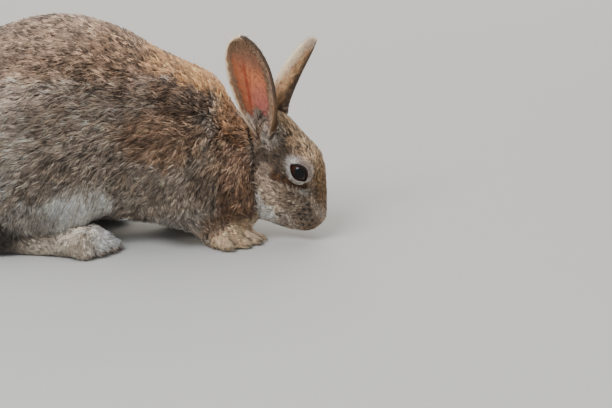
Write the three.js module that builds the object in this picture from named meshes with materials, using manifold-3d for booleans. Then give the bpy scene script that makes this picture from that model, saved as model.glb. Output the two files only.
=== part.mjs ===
// A crouching rabbit, life size, with its head lowered to feed. Millimetres, +Z up.
// The rabbit faces +X, its left side is +Y, and its feet stand on Z = 0.
//
// Flesh and coat together are one smooth field, made of named masses (egg shapes and tapered limbs) that
// melt into each other. The pieces a person would name, such as the head or a haunch, take their share of
// it in turn, with a thin cut round each. Ears, eyes and claws have shapes of their own.
import * as THREE from "three";
import { mergeVertices } from "three/addons/utils/BufferGeometryUtils.js";
import Module from "manifold-3d";

const wasm = await Module();
wasm.setup();
const { degToRad, lerp, clamp } = THREE.MathUtils;
const V = (x, y, z) => new THREE.Vector3(x, y, z);

// ---------------------------------------------------------------- driving dimensions

const GAP = 0.3; // between neighbouring pieces
const CHORD = 0.4; // facets cut inside a round surface by about this much, so their corners stand out
const FOOT_SINK = 1.2; // how far the soles reach below the floor, where they are cut flat
const RIGHT = -1; // the sides, as the sign of Y
const LEFT = 1;
const SIDES = [
  ["right", RIGHT],
  ["left", LEFT],
];

// The head's own frame: its origin lies midway between the eyes, +x to the nose, +z to the crown.
const HEAD = { at: V(139, -7, 66), pitch: 60, yaw: -12 };
const EYE = { apart: 38, radius: 9.9, along: 0, up: 1.7 };
const EAR = {
  halfWidth: 25.3, narrowest: 2, // from the middle of the leaf to its edge, and the same at its tip
  thickness: 3.2, edge: 2.2,
  tipCurl: 52, rootCurl: 142, // how far round each half of the leaf is rolled, in degrees
  waist: 0.3, waistEnd: 0.35, // how much narrower the root is, and where along the ear that ends
  rows: 9, columns: 7,
};
const HIND_FOOT = { toe: 21, toeRadius: 5.8 };
const FORE_FOOT = { toe: 18, toeRadius: 4.8 };
const FAN = 0.15; // the toes' tips stand further apart, and their roots closer together, by this share
const CLAW = { length: 7, radius: 1.6, tipRadius: 0.25, from: 0, rise: 0.4, droop: 2 };

const WORLD = new THREE.Matrix4();
const turned = (x, y, z) => new THREE.Euler(degToRad(x), degToRad(y), degToRad(z), "ZYX");
const placed = (turn, at) => new THREE.Matrix4().makeRotationFromEuler(turned(...turn)).setPosition(at);
const headFrame = placed([0, HEAD.pitch, HEAD.yaw], HEAD.at);
const inHead = (x, y, z) => V(x, y, z).applyMatrix4(headFrame);

// ---------------------------------------------------------------- fields

const boxAround = (points, margin) => new THREE.Box3().setFromPoints(points).expandByScalar(margin);

// An egg shape: near its surface the value is close to the distance to it.
function egg(centre, radii, turn = [0, 0, 0], frame = WORLD) {
  const back = placed(turn, V(...centre)).premultiply(frame).invert();
  const [a, b, c] = radii;
  const q = V(0, 0, 0);
  const field = (x, y, z) => {
    q.set(x, y, z).applyMatrix4(back);
    const near = Math.hypot(q.x / a, q.y / b, q.z / c);
    const slope = Math.hypot(q.x / (a * a), q.y / (b * b), q.z / (c * c));
    return slope < 1e-9 ? -Math.min(a, b, c) : (near * (near - 1)) / slope;
  };
  const middle = V(...centre).applyMatrix4(frame);
  return { field, box: boxAround([middle], Math.max(a, b, c)) };
}

// A tapered limb from one joint to the next.
function limb(from, to, fromRadius, toRadius) {
  const along = to.clone().sub(from);
  const length2 = along.lengthSq();
  const p = V(0, 0, 0);
  const field = (x, y, z) => {
    p.set(x, y, z).sub(from);
    const t = clamp(p.dot(along) / length2, 0, 1);
    return p.addScaledVector(along, -t).length() - lerp(fromRadius, toRadius, t);
  };
  return { field, box: boxAround([from, to], Math.max(fromRadius, toRadius)) };
}

// The same shape with a skin of the given depth round it.
function grown({ field, box }, depth) {
  return { field: (x, y, z) => field(x, y, z) - depth, box: box.clone().expandByScalar(depth) };
}

// Two values that melt into each other over about `melt` millimetres.
function blend(a, b, melt) {
  const h = Math.max(melt - Math.abs(a - b), 0) / melt;
  return Math.min(a, b) - (h * h * melt) / 4;
}

// A mass is a shape with the distance over which it melts into what comes before it.
const mass = (melt, shape) => ({ melt, shape });
function joined(masses) {
  return (x, y, z) => masses.reduce((sum, { melt, shape }) => blend(sum, shape.field(x, y, z), melt), 1e3);
}

// ---------------------------------------------------------------- masses of the trunk, neck and tail

const trunkMasses = [
  mass(30, egg([-66.5, 0, 116], [93.5, 56, 78.5], [0, -8, 0])), // loins and belly
  mass(30, egg([-133.5, 0, 95.5], [56, 48, 67.5], [0, 12, 0])), // rump
  mass(38, egg([-1.5, 0, 84], [78, 49, 70.5], [0, 12, 0])), // rib cage
  mass(26, egg([33.5, 0, 96.5], [46.5, 42, 53.5], [0, 31, 0])), // withers
];
const neckMasses = [
  mass(20, egg([74, -1, 61], [34.5, 35, 41.5], [0, 24, 0])), // neck
  mass(20, egg([78.5, -3, 42], [31.5, 31, 31])), // breast
];
const tailMasses = [mass(12, egg([-184, 0, 80], [15, 14, 25], [0, 24, 0]))];

// ---------------------------------------------------------------- masses of the head

const inside = (melt, centre, radii, turn) => mass(melt, egg(centre, radii, turn, headFrame));
const headMasses = [
  inside(14, [-30.5, 0, -6.5], [27.5, 23, 17.5]), // brain case
  inside(14, [-2, 0, -2], [25.5, 21, 20]), // forehead
  inside(12, [24, 0, -8], [27, 14, 16], [0, 17, 0]), // bridge of the nose
  inside(8, [45.5, 0, -13], [8, 9.5, 9]), // nose
  inside(10, [31, 0, -30], [19, 12.5, 14], [0, -15, 0]), // lower jaw
  inside(9, [13, 0, -35], [26, 19, 22], [0, -6, 0]), // throat under the jaw
  ...[RIGHT, LEFT].flatMap((side) => [
    inside(8, [40, side * 6.5, -19.5], [11.5, 8.5, 8]), // whisker pad
    inside(9, [2, side * 11.5, -21], [29, 17, 21], [0, 10, 0]), // cheek
    inside(6, [-1, side * 17, 8.5], [13.5, 7, 5], [side * 20, 0, 0]), // brow
  ]),
];

// ---------------------------------------------------------------- masses of the legs

const sideways = (side) => (x, y, z) => V(x, y * side, z);

// The haunch: thigh, buttock, and the shin folded under them.
function haunchMasses(side) {
  const at = sideways(side);
  return [
    mass(24, egg([-92, side * 44, 82], [54, 23, 60], [0, -16, 0])),
    mass(18, egg([-134, side * 42, 52], [42, 20, 40], [0, 28, 0])),
    mass(14, limb(at(-64, 43, 46), at(-124, 44, 33), 20, 21)),
    mass(12, egg([-128, side * 43, 27], [40, 18, 25], [0, 4, 0])), // the coat that hangs over the heel
    mass(10, limb(at(-76, 44, 40), at(-30, 36, 38), 15, 10)), // the fold between thigh and belly
  ];
}

// A foot with its four toes, which fan out a little from the ball of the foot. The inner toe comes first,
// and by `slant` each toe stands further back than the one inside it.
function footMasses({ side, ball, heading, reach, rise, drop, spread, slant, shares, thick, thin, melt }) {
  const along = V(Math.cos(degToRad(heading)), side * Math.sin(degToRad(heading)), 0);
  const across = V(-along.y * side, along.x * side, 0);
  return shares.map((share, i) => {
    const aside = (i - 1.5) * spread;
    const base = ball.clone().addScaledVector(along, -aside * slant);
    const from = base.clone().addScaledVector(across, aside * (1 - FAN)).setZ(rise);
    const tip = base.clone().addScaledVector(across, aside * (1 + FAN)).setZ(drop);
    tip.addScaledVector(along, reach * share);
    return { from, tip, mass: mass(melt, limb(from, tip, thick, thin)) };
  });
}

function hindFoot(side) {
  const at = sideways(side);
  const ball = at(-45, 48.5, 12.6);
  const toes = footMasses({
    side, ball, heading: 6, reach: HIND_FOOT.toe, rise: 14.5, drop: HIND_FOOT.toeRadius - FOOT_SINK,
    spread: 8, slant: 0.4, shares: [1, 1.06, 0.88, 0.5], thick: 8.6, thin: HIND_FOOT.toeRadius,
    melt: 1.2,
  });
  const sole = mass(5, limb(at(-134, 34, 11), ball, 12.6, 13.6));
  return { toes, masses: [sole, ...toes.map((toe) => toe.mass)] };
}

// The fore leg, from a shoulder under the withers to the paw; the left one stands a little further back.
const FORE_SHIFT = { [RIGHT]: 0, [LEFT]: -34 };
function foreLeg(side) {
  const at = (x, y, z) => V(x + FORE_SHIFT[side], y * side, z);
  const elbow = at(28, 31, 40);
  const wrist = at(62, 27, 14.5);
  const ball = at(78, 28, 9.8);
  const toes = footMasses({
    side, ball, heading: 5, reach: FORE_FOOT.toe, rise: 10, drop: FORE_FOOT.toeRadius - FOOT_SINK,
    spread: 8.2, slant: 0.5, shares: [0.96, 1.05, 0.78, 0.35], thick: 5.8, thin: FORE_FOOT.toeRadius,
    melt: 0.9,
  });
  return {
    toes,
    leg: [mass(24, limb(at(32, 30, 82), elbow, 25, 16)), mass(14, limb(elbow, wrist, 16, 10.4))],
    paw: [mass(8, limb(wrist, ball, 10.4, 9.6)), ...toes.map((toe) => toe.mass)],
  };
}

// ---------------------------------------------------------------- where the thin cuts run

// The flesh inside these shapes belongs to the piece, unless an earlier piece has taken it.
const SHARES = {
  head: () => headMasses.map(({ melt, shape }) => mass(melt, grown(shape, 5))),
  forefoot: (side) => [mass(1, egg([88 + FORE_SHIFT[side], side * 24, 0], [36, 30, 27], [0, 0, side * 14]))],
  hindfoot: (side) => [
    mass(1, egg([-50, side * 47, 0], [70, 34, 26])),
    mass(14, limb(V(-130, side * 38, 0), V(-70, side * 45, 0), 15, 21)),
  ],
  tail: () => [mass(1, egg([-194, 0, 80], [27, 24, 31], [0, 24, 0]))],
  foreleg: (side) => [
    mass(1, egg([26 + FORE_SHIFT[side] / 2, side * 50, 52], [27, 34, 38], [0, -24, 0])),
    mass(8, limb(V(36 + FORE_SHIFT[side], side * 30, 34), V(66 + FORE_SHIFT[side], side * 25, 15), 20, 18)),
  ],
  haunch: (side) => [
    mass(1, egg([-99, side * 74, 84], [62, 56, 64], [0, -16, 0])),
    mass(14, egg([-110, side * 62, 38], [58, 46, 44])),
  ],
  neck: () => [mass(1, egg([96, -2, 62], [36, 60, 66], [0, 12, 0]))],
};

// ---------------------------------------------------------------- solids

// Points and triangles as a solid that can be cut and joined.
function solid(points, faces) {
  const vertProperties = new Float32Array(points.flatMap((p) => [p.x, p.y, p.z]));
  return new wasm.Manifold(new wasm.Mesh({ numProp: 3, vertProperties, triVerts: new Uint32Array(faces) }));
}

function solidOf(geometry) {
  const bare = geometry.clone();
  bare.deleteAttribute("normal");
  bare.deleteAttribute("uv");
  const merged = mergeVertices(bare, 1e-3);
  const vertProperties = merged.attributes.position.array;
  const triVerts = new Uint32Array(merged.index.array);
  return new wasm.Manifold(new wasm.Mesh({ numProp: 3, vertProperties, triVerts }));
}

function geometryOf(s) {
  const { numVert, numProp, vertProperties, triVerts } = s.getMesh();
  const points = new Float32Array(numVert * 3);
  for (let i = 0; i < numVert; i++) {
    points.set(vertProperties.subarray(i * numProp, i * numProp + 3), i * 3);
  }
  const geometry = new THREE.BufferGeometry();
  geometry.setAttribute("position", new THREE.BufferAttribute(points, 3));
  return geometry.setIndex(new THREE.BufferAttribute(new Uint32Array(triVerts), 1));
}

const largest = (s) => s.decompose().reduce((a, b) => (b.volume() > a.volume() ? b : a));

// The corners, edges and faces of a grid cell; a corner's number holds its x, y and z as bits.
const CORNERS = [0, 1, 2, 3, 4, 5, 6, 7];
const EDGES = CORNERS.flatMap((a) => [1, 2, 4].filter((bit) => !(a & bit)).map((bit) => [a, a | bit]));
const FACES = [1, 2, 4].flatMap((bit) => [0, bit].map((side) => (corner) => (corner & bit) === side));

// The crossed edges of a cell, in one group for each sheet of the surface that passes through it.
function sheetsThrough(v) {
  const group = new Map();
  for (const edge of EDGES) if (v[edge[0]] < 0 !== v[edge[1]] < 0) group.set(edge, [edge]);
  for (const onFace of FACES) {
    const crossed = [...group.keys()].filter(([a, b]) => onFace(a) && onFace(b));
    const inner = ([a, b]) => (v[a] < 0 ? a : b);
    for (const one of crossed)
      for (const other of crossed) {
        if (group.get(one) === group.get(other)) continue;
        if (crossed.length > 2 && inner(one) !== inner(other)) continue;
        const both = [...group.get(one), ...group.get(other)];
        for (const edge of both) group.set(edge, both);
      }
  }
  return new Set(group.values());
}

// Surface nets: a vertex for each sheet in each cell, moved onto the surface, and one four-sided face
// round each grid edge that the surface crosses. The box's rim closes the mesh.
function meshField(field, box, cell, grow = 0) {
  const n = ["x", "y", "z"].map((axis) => Math.ceil((box.max[axis] - box.min[axis]) / cell) + 3);
  const index = (i, j, k) => (i * n[1] + j) * n[2] + k;
  const place = (i, j, k) => V(i - 1, j - 1, k - 1).multiplyScalar(cell).add(box.min);
  const onRim = (...at) => at.some((c, axis) => c === 0 || c === n[axis] - 1);
  const value = new Float64Array(n[0] * n[1] * n[2]);
  const each = (from, to, visit) => {
    for (let i = from; i < n[0] - to; i++)
      for (let j = from; j < n[1] - to; j++) for (let k = from; k < n[2] - to; k++) visit(i, j, k);
  };
  each(0, 0, (i, j, k) => {
    const p = place(i, j, k);
    value[index(i, j, k)] = onRim(i, j, k) ? cell : field(p.x, p.y, p.z);
  });
  const cornerAt = (c) => V(c & 1, (c >> 1) & 1, (c >> 2) & 1);
  const key = (cellIndex, a, b) => (cellIndex * 8 + a) * 8 + b;
  const vertexOf = new Map();
  const points = [];
  each(0, 1, (i, j, k) => {
    const v = CORNERS.map((c) => value[index(i + (c & 1), j + ((c >> 1) & 1), k + ((c >> 2) & 1))]);
    if (v.every((w) => w < 0) || v.every((w) => w >= 0)) return;
    for (const edges of sheetsThrough(v)) {
      const sum = V(0, 0, 0);
      for (const [a, b] of edges) {
        sum.add(cornerAt(a).lerp(cornerAt(b), v[a] / (v[a] - v[b])));
        vertexOf.set(key(index(i, j, k), a, b), points.length);
      }
      const point = place(i, j, k).addScaledVector(sum, cell / edges.length);
      if (!onRim(i, j, k) && !onRim(i + 1, j + 1, k + 1)) pullOnto(field, point, cell, grow);
      points.push(point);
    }
  });
  const faces = [];
  each(0, 1, (i, j, k) => {
    for (const axis of [0, 1, 2]) {
      const next = [i, j, k];
      next[axis]++;
      const inHere = value[index(i, j, k)] < 0;
      if (inHere === value[index(...next)] < 0) continue;
      const [u, w] = [(axis + 1) % 3, (axis + 2) % 3];
      const vertexIn = (a, b) => {
        const at = [i, j, k];
        at[u] -= a;
        at[w] -= b;
        const start = (a << u) | (b << w);
        return vertexOf.get(key(index(...at), start, start | (1 << axis)));
      };
      let quad = [vertexIn(0, 0), vertexIn(1, 0), vertexIn(1, 1), vertexIn(0, 1)];
      if (!inHere) quad.reverse();
      const across = (a, b) => points[quad[a]].distanceTo(points[quad[b]]);
      if (across(0, 2) > across(1, 3)) quad = [...quad.slice(1), quad[0]];
      faces.push(quad[0], quad[1], quad[2], quad[0], quad[2], quad[3]);
    }
  });
  return solid(points, faces);
}

// Moves a point along the field's slope until it lies on the surface, or `grow` outside it.
function pullOnto(field, point, cell, grow) {
  const h = 0.2;
  const slope = V(0, 0, 0);
  for (let step = 0; step < 4; step++) {
    const { x, y, z } = point;
    const f = field(x, y, z);
    slope.set(field(x + h, y, z) - f, field(x, y + h, z) - f, field(x, y, z + h) - f).divideScalar(h);
    const move = clamp(-f / Math.max(slope.lengthSq(), 0.1), -cell / 4, cell / 4);
    if (step < 3) point.addScaledVector(slope, move);
  }
  point.addScaledVector(slope.normalize(), grow);
}

// Rings of points, each as long as the next, skinned into a closed solid; both end rings are filled.
function loft(rings) {
  const size = rings[0].length;
  const points = rings.flat();
  const faces = [];
  for (let r = 0; r + 1 < rings.length; r++)
    for (let i = 0; i < size; i++) {
      const [a, b] = [r * size + i, r * size + ((i + 1) % size)];
      faces.push(a, b, b + size, a, b + size, a + size);
    }
  // A ring is filled by strips between its first half and its second half.
  const fill = (start, flip) => {
    for (let i = 0; i + 1 < size / 2; i++) {
      const quad = [start + i, start + i + 1, start + size - 2 - i, start + size - 1 - i];
      if (flip) quad.reverse();
      if (i + 1 < size / 2 - 0.5) faces.push(quad[0], quad[1], quad[2], quad[0], quad[2], quad[3]);
    }
  };
  fill(0, true);
  fill((rings.length - 1) * size, false);
  return solid(points, faces);
}

// ---------------------------------------------------------------- ears

// A leaf-shaped sheet that is rolled almost to a tube at its root and opens towards the tip.
const EARS = {
  right: { root: V(109, -17, 96), tip: V(88, -36, 183), open: V(-0.45, -1, 0), bow: V(3.3, -1.2, 0) },
  left: { root: V(112.5, 5, 98), tip: V(149, 36, 165), open: V(-1, 0.2, 0.3), bow: V(-2.5, 2, 0) },
};
function earSheet({ root, tip, open, bow }) {
  const up = tip.clone().sub(root);
  const length = up.length();
  up.normalize();
  const facing = open.clone().addScaledVector(up, -open.dot(up)).normalize();
  const across = facing.clone().cross(up);
  const rings = [];
  for (let row = 0; row <= EAR.rows; row++) {
    const v = 1 - (1 - row / EAR.rows) ** 1.25; // rows lie closer near the tip
    const waist = 1 - EAR.waist * Math.max(1 - v / EAR.waistEnd, 0) ** 2;
    const half = Math.max(EAR.halfWidth * waist * (1 - v ** 5) ** 0.5, EAR.narrowest);
    const curl = degToRad(lerp(EAR.tipCurl, EAR.rootCurl, (1 - v) ** 2.2));
    const radius = half / curl;
    const axis = root.clone().addScaledVector(up, length * v).addScaledVector(bow, Math.sin(Math.PI * v));
    const sheet = (offset) =>
      Array.from({ length: EAR.columns + 1 }, (_, i) => {
        const share = (2 * i) / EAR.columns - 1;
        const angle = share * curl;
        const thick = lerp(EAR.thickness, EAR.edge, Math.max(v, share ** 4)) / 2;
        const r = radius + offset * thick;
        return axis
          .clone()
          .addScaledVector(across, r * Math.sin(angle))
          .addScaledVector(facing, (radius * Math.sin(curl)) / curl - r * Math.cos(angle));
      });
    rings.push([...sheet(1), ...sheet(-1).reverse()]);
  }
  return loft(rings);
}

// ---------------------------------------------------------------- eyes and claws

const eyeCentre = (side) => inHead(EYE.along, (side * EYE.apart) / 2, EYE.up);
const eyeBall = (side, grow) => {
  const ball = new THREE.SphereGeometry(EYE.radius + grow, 11, 8);
  return solidOf(ball.rotateX(Math.PI / 2).translate(...eyeCentre(side)));
};

// A claw leaves the toe's end and curves down to the floor.
function claw({ from, tip }) {
  const along = tip.clone().sub(from).setZ(0).normalize();
  const across = V(-along.y, along.x, 0);
  const rings = [0, 0.5, 1].map((t) => {
    const middle = tip.clone().addScaledVector(along, CLAW.from + CLAW.length * t);
    middle.z += CLAW.rise - CLAW.droop * t * t;
    const radius = CLAW.radius * (1 - t) ** 0.7 + CLAW.tipRadius;
    return [0, 1, 2, 3].map((i) => {
      const angle = (Math.PI * i) / 2;
      const aside = middle.clone().addScaledVector(across, radius * Math.cos(angle));
      return aside.add(V(0, 0, radius * Math.sin(angle)));
    });
  });
  return loft(rings);
}

// ---------------------------------------------------------------- pieces

const matt = (color) => new THREE.MeshStandardMaterial({ color, roughness: 0.95, metalness: 0 });
const coatColour = matt(0x7d6a56);
const footColour = matt(0xa89684);
const eyeColour = new THREE.MeshStandardMaterial({ color: 0x1d100a, roughness: 0.1, metalness: 0 });
const clawColour = new THREE.MeshStandardMaterial({ color: 0x3a2f28, roughness: 0.5, metalness: 0 });

const feet = { right: {}, left: {} };
for (const [name, side] of SIDES) feet[name] = { hind: hindFoot(side), fore: foreLeg(side) };

// In the order in which the pieces take their share of the flesh: the trunk keeps what is left.
// `cell` is the mesh size of a piece's skin, `cut` that of the cuts round it.
const fleshPieces = [
  { name: "head", masses: headMasses, share: SHARES.head(), cell: 9, cut: 16 },
  ...SIDES.flatMap(([name, side]) => [
    {
      name: `forefoot_${name}`, masses: feet[name].fore.paw, share: SHARES.forefoot(side),
      cell: 5.8, cut: 16, material: footColour,
    },
    {
      name: `hindfoot_${name}`, masses: feet[name].hind.masses, share: SHARES.hindfoot(side),
      cell: 7.6, cut: 20, material: footColour,
    },
  ]),
  { name: "tail", masses: tailMasses, share: SHARES.tail(), cell: 10, cut: 14 },
  ...SIDES.flatMap(([name, side]) => [
    { name: `foreleg_${name}`, masses: feet[name].fore.leg, share: SHARES.foreleg(side), cell: 16, cut: 16 },
    { name: `haunch_${name}`, masses: haunchMasses(side), share: SHARES.haunch(side), cell: 23, cut: 27 },
  ]),
  { name: "neck", masses: neckMasses, share: SHARES.neck(), cell: 17, cut: 20 },
  { name: "trunk", masses: trunkMasses, share: trunkMasses, cell: 19, cut: 19 },
];
const flesh = joined([...fleshPieces].reverse().flatMap((piece) => piece.masses));

function boxOf(masses, margin) {
  const box = new THREE.Box3();
  for (const { shape } of masses) box.union(shape.box);
  return box.expandByScalar(margin);
}

const rabbit = new THREE.Group();
function addPiece(name, s, material) {
  const made = new THREE.Mesh(geometryOf(largest(s)), material.clone());
  made.name = name;
  rabbit.add(made);
}

const floor = solidOf(new THREE.BoxGeometry(800, 800, 100).translate(0, 0, -50));
const eyeSockets = SIDES.map(([, side]) => eyeBall(side, GAP));
let taken = eyeSockets.reduce((a, b) => a.add(b), floor);
const covers = {};
for (const { name, share, cell, cut, material = coatColour } of fleshPieces) {
  const box = boxOf(share, 3 * cell);
  const own = joined(share);
  const skin = meshField(flesh, box, cell, CHORD);
  if (name === "trunk") {
    addPiece(name, skin.subtract(taken), material);
  } else {
    addPiece(name, skin.intersect(meshField(own, box, cut)).subtract(taken), material);
    taken = taken.add(meshField(own, box, cut, GAP * 1.15));
  }
  covers[name] = meshField(flesh, box, cell, CHORD + GAP * 1.15);
}

for (const [name, side] of SIDES) {
  addPiece(`eye_${name}`, eyeBall(side, 0), eyeColour);
  const sheet = earSheet(EARS[name]);
  const clear = ["head", "neck", "trunk"].reduce((left, near) => left.subtract(covers[near]), sheet);
  addPiece(`ear_${name}`, clear, coatColour);
  for (const foot of ["hind", "fore"])
    feet[name][foot].toes.forEach((toe, i) => {
      const outside = claw(toe).subtract(covers[`${foot}foot_${name}`]).subtract(floor);
      addPiece(`claw_${foot}_${name}_${i + 1}`, outside, clawColour);
    });
}

// The part's origin is at the middle of its box, on the floor.
const extent = new THREE.Box3().setFromObject(rabbit);
const middle = extent.getCenter(V(0, 0, 0));
rabbit.position.set(-middle.x, -middle.y, -extent.min.z);

export default rabbit;
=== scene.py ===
# %% [markdown]
# # A crouching rabbit, life size
#
# The animal crouches with its head lowered to feed, as a museum would mount it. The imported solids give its
# size, its pose and its outline out to the tips of the coat. This lesson lays one skin inside those solids,
# cuts lids and nostrils into it, grows the coat on it tuft by tuft, and sets in the eyes and claws.

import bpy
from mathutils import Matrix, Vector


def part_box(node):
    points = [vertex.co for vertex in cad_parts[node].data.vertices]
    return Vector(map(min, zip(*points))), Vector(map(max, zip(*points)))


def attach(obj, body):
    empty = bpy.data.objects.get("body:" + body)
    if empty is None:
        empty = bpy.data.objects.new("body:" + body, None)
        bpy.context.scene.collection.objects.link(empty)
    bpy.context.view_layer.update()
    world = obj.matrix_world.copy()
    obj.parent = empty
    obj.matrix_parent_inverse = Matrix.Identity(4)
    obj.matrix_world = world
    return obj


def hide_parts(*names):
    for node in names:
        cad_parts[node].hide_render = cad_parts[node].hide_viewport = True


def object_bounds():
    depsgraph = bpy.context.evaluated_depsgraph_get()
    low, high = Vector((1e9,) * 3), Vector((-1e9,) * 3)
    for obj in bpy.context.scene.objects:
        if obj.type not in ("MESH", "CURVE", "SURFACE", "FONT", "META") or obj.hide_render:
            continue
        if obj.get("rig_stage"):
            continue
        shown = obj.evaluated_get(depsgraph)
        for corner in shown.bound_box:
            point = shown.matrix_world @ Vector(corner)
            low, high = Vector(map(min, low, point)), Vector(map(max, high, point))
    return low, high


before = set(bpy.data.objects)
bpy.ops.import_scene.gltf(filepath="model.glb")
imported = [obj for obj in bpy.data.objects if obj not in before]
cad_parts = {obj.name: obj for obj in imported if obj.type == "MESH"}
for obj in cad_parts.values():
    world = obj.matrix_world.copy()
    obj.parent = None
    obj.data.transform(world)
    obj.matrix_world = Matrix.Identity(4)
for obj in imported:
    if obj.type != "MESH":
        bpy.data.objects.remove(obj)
cad_box = [list(corner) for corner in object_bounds()]
print("frame:", len(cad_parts), "nodes")

# %% Shared tools
import math

import bpy
import numpy as np
from mathutils import Matrix, Vector, noise
from mathutils.bvhtree import BVHTree
from mathutils.kdtree import KDTree

MM = 0.001
SIDES = {"right": -1, "left": 1}  # the sign of Y on that side of the body
rng = np.random.default_rng(20)


def select_only(obj):
    """Leaves obj selected and active, and nothing else."""
    bpy.ops.object.select_all(action="DESELECT")
    obj.select_set(True)
    bpy.context.view_layer.objects.active = obj
    return obj


def apply_modifier(obj, kind, **settings):
    """Adds a modifier with its settings and applies it."""
    modifier = select_only(obj).modifiers.new(kind.lower(), kind)
    for name, value in settings.items():
        setattr(modifier, name, value)
    bpy.ops.object.modifier_apply(modifier=modifier.name)
    return obj


def in_edit_mode(obj, *steps):
    """Runs edit mode operators on the whole of obj."""
    select_only(obj)
    bpy.ops.object.mode_set(mode="EDIT")
    bpy.ops.mesh.select_all(action="SELECT")
    for step in steps:
        step()
    bpy.ops.object.mode_set(mode="OBJECT")
    return obj


def settle(obj, name):
    """Names obj and puts its place into its mesh, so that the object sits at the origin."""
    select_only(obj).name = name
    bpy.ops.object.transform_apply(location=True, rotation=True, scale=True)
    return obj


def add_primitive(kind, **settings):
    """A new mesh primitive, with nothing else selected."""
    bpy.ops.object.select_all(action="DESELECT")
    getattr(bpy.ops.mesh, f"primitive_{kind}_add")(**settings)
    return bpy.context.object


def points_of(obj):
    """The vertices of obj as rows of x, y and z."""
    co = np.empty(len(obj.data.vertices) * 3)
    obj.data.vertices.foreach_get("co", co)
    return co.reshape(-1, 3)


def move_points(obj, points):
    """Puts the vertices of obj at points."""
    obj.data.vertices.foreach_set("co", np.asarray(points, np.float32).ravel())
    obj.data.update()


def normals_of(obj):
    """The vertex normals of obj."""
    n = np.empty(len(obj.data.vertices) * 3, np.float32)
    obj.data.vertex_normals.foreach_get("vector", n)
    return n.reshape(-1, 3).astype(float)


def unit(vectors):
    """Each row at length one."""
    return vectors / np.maximum(np.linalg.norm(vectors, axis=-1, keepdims=True), 1e-12)


def smoothstep(low, high, x):
    """0 below low, 1 above high, and a soft step between; low may lie above high."""
    t = np.clip((x - low) / (high - low), 0, 1)
    return t * t * (3 - 2 * t)


def linear(hex_colour):
    """An sRGB hex colour as linear red, green and blue."""
    srgb = np.array([int(hex_colour[i : i + 2], 16) for i in (1, 3, 5)]) / 255
    return np.where(srgb <= 0.04045, srgb / 12.92, ((srgb + 0.055) / 1.055) ** 2.4)


# %% A small function that adds a node
def add_node(material, kind, links=(), **settings):
    """A node with its settings. links are (input, node, output) to plug into it; a setting that isn't
    a property of the node goes on its input of that name."""
    node = material.node_tree.nodes.new(kind)
    for name, value in settings.items():
        if hasattr(node, name):
            setattr(node, name, value)
        else:
            node.inputs[name.replace("_", " ")].default_value = value
    for socket, source, output in links:
        material.node_tree.links.new(source.outputs[output], node.inputs[socket])
    return node


def new_material(name):
    """An empty node material and its output."""
    material = bpy.data.materials.new(name)
    material.use_nodes = True
    material.node_tree.nodes.clear()
    return material, add_node(material, "ShaderNodeOutputMaterial")


def finish_material(material, output, shader):
    """Plugs the shader into the output."""
    material.node_tree.links.new(shader.outputs[0], output.inputs["Surface"])
    return material


# %% [markdown]
# ## Camera, floor and light
#
# The rabbit was seen from a little above its own height and some way off, so the lens is long and the
# perspective flat. The light is that of an overcast sky: bright from all over, strongest from the front
# above, with a lamp behind that draws a pale rim along the back. The floor is plain and pale.

# %% Camera
CAMERA_HEIGHT_ANGLE = math.radians(18)
CAMERA_DISTANCE = 1.453
AIM_BEHIND_NOSE, AIM_HEIGHT = 0.0193, 0.029
aim = Vector((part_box("head")[1].x - AIM_BEHIND_NOSE, 0, AIM_HEIGHT))
back_off = Vector((0, -math.cos(CAMERA_HEIGHT_ANGLE), math.sin(CAMERA_HEIGHT_ANGLE)))

bpy.ops.object.camera_add(location=aim + back_off * CAMERA_DISTANCE)
camera = bpy.context.object
camera.rotation_euler = (-back_off).to_track_quat("-Z", "Y").to_euler()
camera.data.lens = 100
camera.data.sensor_width = 36
bpy.context.scene.camera = camera
print("camera at", tuple(round(c, 3) for c in camera.location))

# %% Floor
floor = settle(add_primitive("plane", size=12), "floor")
floor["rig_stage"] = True
floor_material, floor_output = new_material("pale matt studio floor")
floor_shader = add_node(
    floor_material, "ShaderNodeBsdfPrincipled", Base_Color=(*linear("#bdbab3"), 1), Roughness=0.9
)
floor.data.materials.append(finish_material(floor_material, floor_output, floor_shader))

# %% Lights
LAMPS = [  # name, place, width and length, watts, colour
    ("sky_key", (-0.7, -1.25, 1.7), (1.1, 0.9), 42, "#f2f6ff"),
    ("sky_top", (0.0, 0.2, 2.2), (2.4, 1.8), 14, "#fffaf3"),
    ("sky_rim", (0.3, 1.9, 1.1), (2.2, 0.8), 24, "#fff4e6"),
]
LAMP_AIM = Vector((0, 0, 0.08))
for name, place, size, watts, colour in LAMPS:
    bpy.ops.object.light_add(type="AREA", location=place)
    lamp = bpy.context.object
    lamp.name = name
    lamp.data.shape = "RECTANGLE"
    lamp.data.size, lamp.data.size_y = size
    lamp.data.energy = watts
    lamp.data.color = linear(colour)
    lamp.rotation_euler = (LAMP_AIM - Vector(place)).to_track_quat("-Z", "Y").to_euler()

world = bpy.data.worlds.new("overcast sky")
bpy.context.scene.world = world
world.use_nodes = True
world.node_tree.nodes["Background"].inputs["Color"].default_value = (*linear("#e3e9f0"), 1)
world.node_tree.nodes["Background"].inputs["Strength"].default_value = 0.95

# %% [markdown]
# ## Landmarks of the head
#
# Everything on the face is measured from the eyes. The head has a frame of its own: its origin lies midway
# between the eyes, x runs to the nose, y to the rabbit's left and z to the crown. In the solids the head
# hangs down steeply, and it is turned a little to the rabbit's right.

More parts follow.
